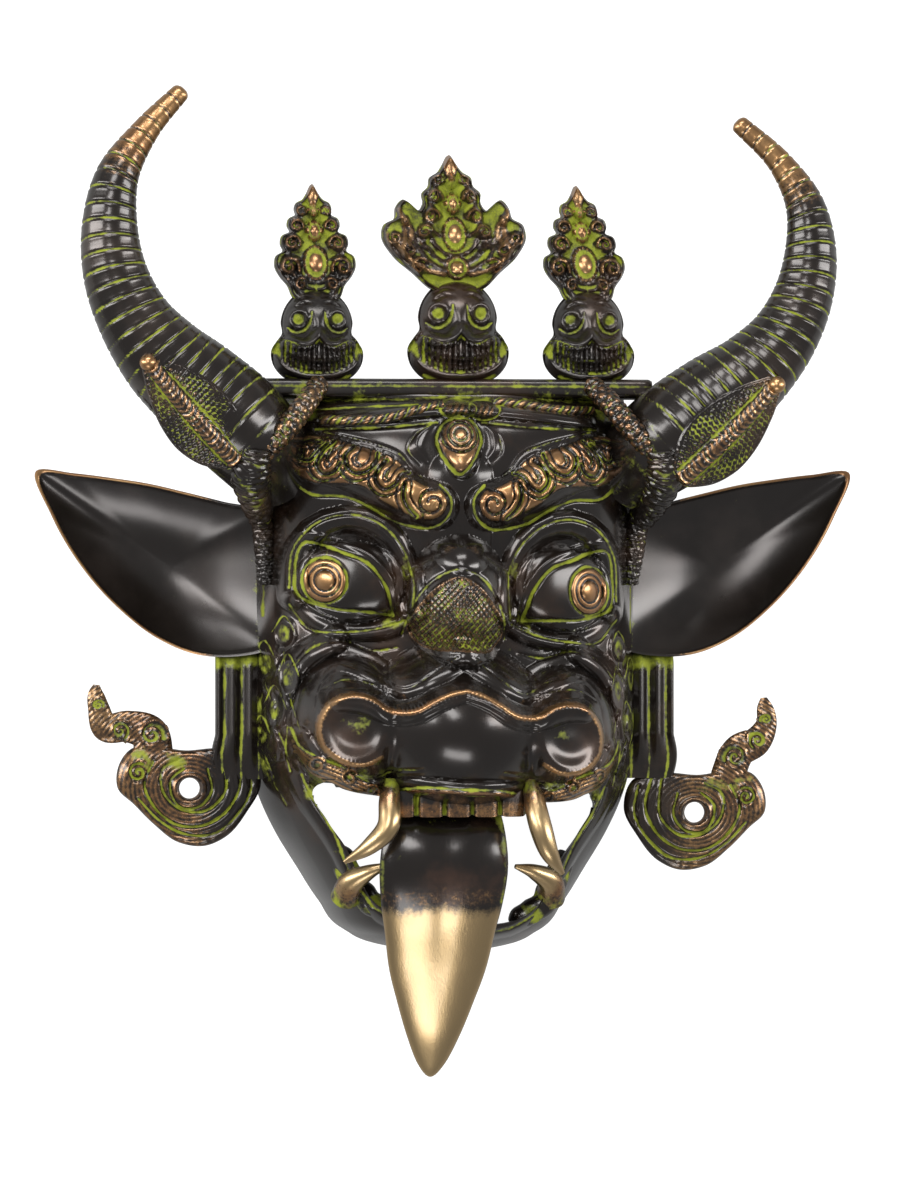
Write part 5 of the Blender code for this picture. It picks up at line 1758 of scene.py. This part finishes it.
def upper_teeth():
    across = np.linspace(-0.5, 0.5, 120)
    down = np.concatenate([np.linspace(-0.5, 0.47, 18), [0.5]])
    grid_across, grid_down = np.meshgrid(across, down)
    in_tooth = ((grid_across + 0.5) * TOOTH_COUNT) % 1.0
    round_off = np.abs(2 * in_tooth - 1.0) ** 6
    lower = 0.5 - grid_down
    x = TEETH_MIDDLE[0] + grid_across * TOOTH_COUNT * TOOTH_WIDTH
    y = TEETH_MIDDLE[1] - (0.8 * lower - 0.3) * 1.6 * TOOTH_HEIGHT + lower * 2.0 * round_off
    z = TEETH_MIDDLE[2] - 22.0 * grid_across**2 - 2.0 * round_off
    tooth = unit(1.0 - np.abs(2 * in_tooth - 1.0) ** 9)
    front = np.stack([x, y, z + 3.75 * tooth + 1.0 * (1 - tooth)], axis=-1)
    back = np.stack([x, y, z - 3.75], axis=-1)[:, ::-1]
    points = np.concatenate([front, back], axis=1)
    cut = 1.0 - tooth
    green = np.concatenate([unit(0.10 + 1.1 * cut), 0.2 + 0 * x], axis=1)
    copper = np.concatenate([0.50 * tooth * unit(lower * 1.6), 0 * x], axis=1)
    marks = {"green": green, "copper": copper}
    return sheet("Upper teeth", points, marks, mouth_brass, wrap=True, closed=True)


upper_teeth()

# %% Fangs and gums
FANGS = {
    "Upper left fang": [(-34, -98, 96, 0.80), (-35, -107, 101, 0.95), (-36, -119, 105, 1.00)]
    + [(-45, -129, 104, 0.75), (-57, -137, 98, 0.20)],
    "Upper right fang": [(36, -98, 96, 0.80), (37, -108, 101, 0.95), (40, -122, 105, 1.00)]
    + [(44, -133, 104, 0.80), (51, -143, 98, 0.25)],
    "Lower left fang": [(-54, -156, 66, 1.30), (-52, -149, 74, 1.15), (-44, -143, 82, 0.70)]
    + [(-34, -139, 86, 0.20)],
    "Lower right fang": [(49, -157, 66, 1.30), (48, -149, 74, 1.15), (39, -143, 82, 0.70)]
    + [(29, -140, 86, 0.20)],
}


def polished(along, turn, radius, place):
    """Bare metal with a dark, green root."""
    root = np.exp(-((along / 9.0) ** 4))
    dark = np.exp(-((along / 15.0) ** 3)) * (0.75 + 0.25 * np.sin(2 * turn))
    bare = unit(0.95 - 1.1 * dark)
    marks = {"green": 0.52 * root, "copper": 0.58 - 0.16 * root, "bare": bare}
    return 0.12 * np.cos(7 * turn) * mark(along, 14.0), marks


def lumpy(along, turn, radius, place):
    """Gums: soft lumps with green between them."""
    wave = np.cos(0.42 * along + 0.7 * np.sin(turn)) * np.cos(1.0 * turn + 0.12 * along)
    marks = {"green": 0.72 * unit(-wave + 0.3), "copper": 0.34 * unit(wave)}
    return 0.8 * wave, marks


for name, rows in FANGS.items():
    line = smooth_path(rows, 44)
    tube(name, line[:, :3], line[:, 3] * FANG_RADIUS, mouth_brass, sides=28, relief=polished)
for side in SIDES:
    rows = [(57, -132, 56), (51, -148, 62), (43, -159, 66), (29, -167, 62)]
    line = smooth_path([(side * x, y - side * 2, z) for x, y, z in rows], 50)
    radii = 1.15 * FANG_RADIUS * (1.0 - 0.7 * np.linspace(-1.0, 1.0, len(line)) ** 6)
    tube(f"Lower {SIDE_NAMES[side].lower()} gum", line, radii, mouth_brass, sides=30, relief=lumpy)

# %% Tongue
TONGUE_STATIONS = (0, 0.14, 0.25, 0.39, 0.47, 0.60, 0.73, 0.86, 0.95, 1.0)
TONGUE_WIDTHS = (0.80, 0.95, 1.0, 0.94, 0.87, 0.77, 0.60, 0.40, 0.22, 0.0)
TONGUE_RISES = (76, 88, 89, 83, 78, 71, 64, 57, 51, 48)
TONGUE_ROOT = (-6.0, -104.0)
TONGUE_MIDDLE = 0.45
TONGUE_POLISH_START = 0.36


def tongue():
    half = [(w, TONGUE_MIDDLE - t) for t, w in zip(TONGUE_STATIONS, TONGUE_WIDTHS)]
    outline = both_sides([(0.0, TONGUE_MIDDLE + 0.02)] + half)
    rings = fineness(42)
    u, v, share, front = cushion_grid(outline, 3 * rings, rings)
    t = TONGUE_MIDDLE - v
    x = TONGUE_ROOT[0] - 3.5 * t + u * TONGUE_WIDTH / 2
    rise = smooth_curve(t, TONGUE_STATIONS, TONGUE_RISES)
    thick = TONGUE_THICKNESS * np.sqrt(unit(1 - share**2))
    groove = 0.7 * mark(u, 0.20) * (1 - share) * (front > 0)
    z = rise + np.where(front > 0, 0.6 * thick, -0.4 * thick) - groove
    points = np.stack([x, TONGUE_ROOT[1] - t * TONGUE_LENGTH, z], axis=-1)
    ragged = 0.004 * np.sin(23 * u + 1) + 0.003 * np.sin(61 * u) + 0.008 * np.cos(5 * u)
    bare = unit((t + ragged - TONGUE_POLISH_START) / 0.09)
    root, edge = mark(t, 0.10), mark(share - 0.96, 0.05) * (t < 0.4)
    copper = 0.36 * mark(t - TONGUE_POLISH_START, 0.06)
    marks = {"green": 0.5 * root + 0.45 * edge, "copper": copper, "bare": bare}
    return sheet("Tongue", points, marks, mouth_brass, wrap=True, flip=True)


tongue()
print("mouth made", len(pieces), "pieces")

# %% [markdown]
# ## Table, light and camera
#
# The mask lies on its back on a pale table and the camera looks down on it, from a little to the
# left, through a long lens. Dark glossy metal shows its form by what it reflects, so the light comes
# from a few large soft boxes with darkness between them. The table glows fully for the camera and
# only faintly for other rays, because a bright table would wash out the steep sides of the jaw.

# %% Table and lights
TABLE_HALF = 3.0
TABLE_GAP = 0.0005
TABLE_GLOW_ALL = 0.14
TABLE_GLOW_CAMERA = 0.86
WORLD_STRENGTH = 0.32


def table():
    mesh = bpy.data.meshes.new("Table top")
    bm = bmesh.new()
    bmesh.ops.create_grid(bm, x_segments=1, y_segments=1, size=TABLE_HALF)
    bm.to_mesh(mesh)
    bm.free()
    made = bpy.data.objects.new("Table top", mesh)
    bpy.context.scene.collection.objects.link(made)
    material = bpy.data.materials.new("Pale table")
    material.use_nodes = True
    shader = material.node_tree.nodes["Principled BSDF"]
    shader.inputs["Base Color"].default_value = (0.24, 0.24, 0.235, 1.0)
    shader.inputs["Roughness"].default_value = 0.6
    shader.inputs["Emission Color"].default_value = (1.0, 1.0, 1.0, 1.0)
    rays = material.node_tree.nodes.new("ShaderNodeLightPath")
    seen = rays.outputs["Is Camera Ray"]
    glow = maths(material.node_tree, "MULTIPLY_ADD", seen, TABLE_GLOW_CAMERA, TABLE_GLOW_ALL)
    material.node_tree.links.new(glow, shader.inputs["Emission Strength"])
    mesh.materials.append(material)
    made.location.z = -TABLE_GAP


def soft_box(name, place, size, power, aim=(0.0, 0.0, 0.05)):
    light = bpy.data.lights.new(name, "AREA")
    light.shape = "RECTANGLE"
    light.size, light.size_y = size
    light.energy = power
    made = bpy.data.objects.new(name, light)
    made.location = place
    made.rotation_euler = (Vector(aim) - Vector(place)).to_track_quat("-Z", "Y").to_euler()
    bpy.context.scene.collection.objects.link(made)


table()
for name, place, size, power in (
    ("Left box", (-1.6, 0.3, 0.9), (0.5, 1.8), 26),
    ("Right box", (1.6, 0.2, 1.0), (0.45, 1.6), 22),
    ("Top box", (-0.2, 1.6, 1.3), (1.5, 0.5), 20),
    ("Foot box", (-0.2, -1.6, 1.2), (1.0, 0.4), 8),
    ("Window over the camera", (-0.55, 0.75, 2.2), (0.5, 0.9), 13),
):
    soft_box(name, place, size, power)
world = bpy.data.worlds.new("Pale room")
world.use_nodes = True
background = world.node_tree.nodes["Background"]
background.inputs["Color"].default_value = (0.95, 0.97, 1.0, 1.0)
background.inputs["Strength"].default_value = WORLD_STRENGTH
bpy.context.scene.world = world
bpy.context.scene.view_settings.view_transform = "Standard"

# %% Camera
CAMERA_AZIMUTH = 6.0
CAMERA_DISTANCE = 3.2
PHOTO_HEIGHT_MM = 602.0
CAMERA_TARGET_MM = (0.75, -8.0, 45.0)
camera_data = bpy.data.cameras.new("Camera")
camera = bpy.data.objects.new("Camera", camera_data)
bpy.context.scene.collection.objects.link(camera)
bpy.context.scene.camera = camera
target = np.array(CAMERA_TARGET_MM) * MM
swing = math.radians(CAMERA_AZIMUTH)
camera.location = target + CAMERA_DISTANCE * np.array((-math.sin(swing), 0.0, math.cos(swing)))
camera.rotation_euler = (0.0, -swing, 0.0)
camera_data.sensor_fit = "VERTICAL"
camera_data.sensor_height = 24.0
camera_data.lens = camera_data.sensor_height * CAMERA_DISTANCE / (PHOTO_HEIGHT_MM * MM)
print("camera lens", round(camera_data.lens, 1))

# %% Sizes and the end
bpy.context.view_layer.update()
triangles = sum(sum(len(face.vertices) - 2 for face in made.data.polygons) for made in pieces)
print("pieces", len(pieces), "triangles", triangles)
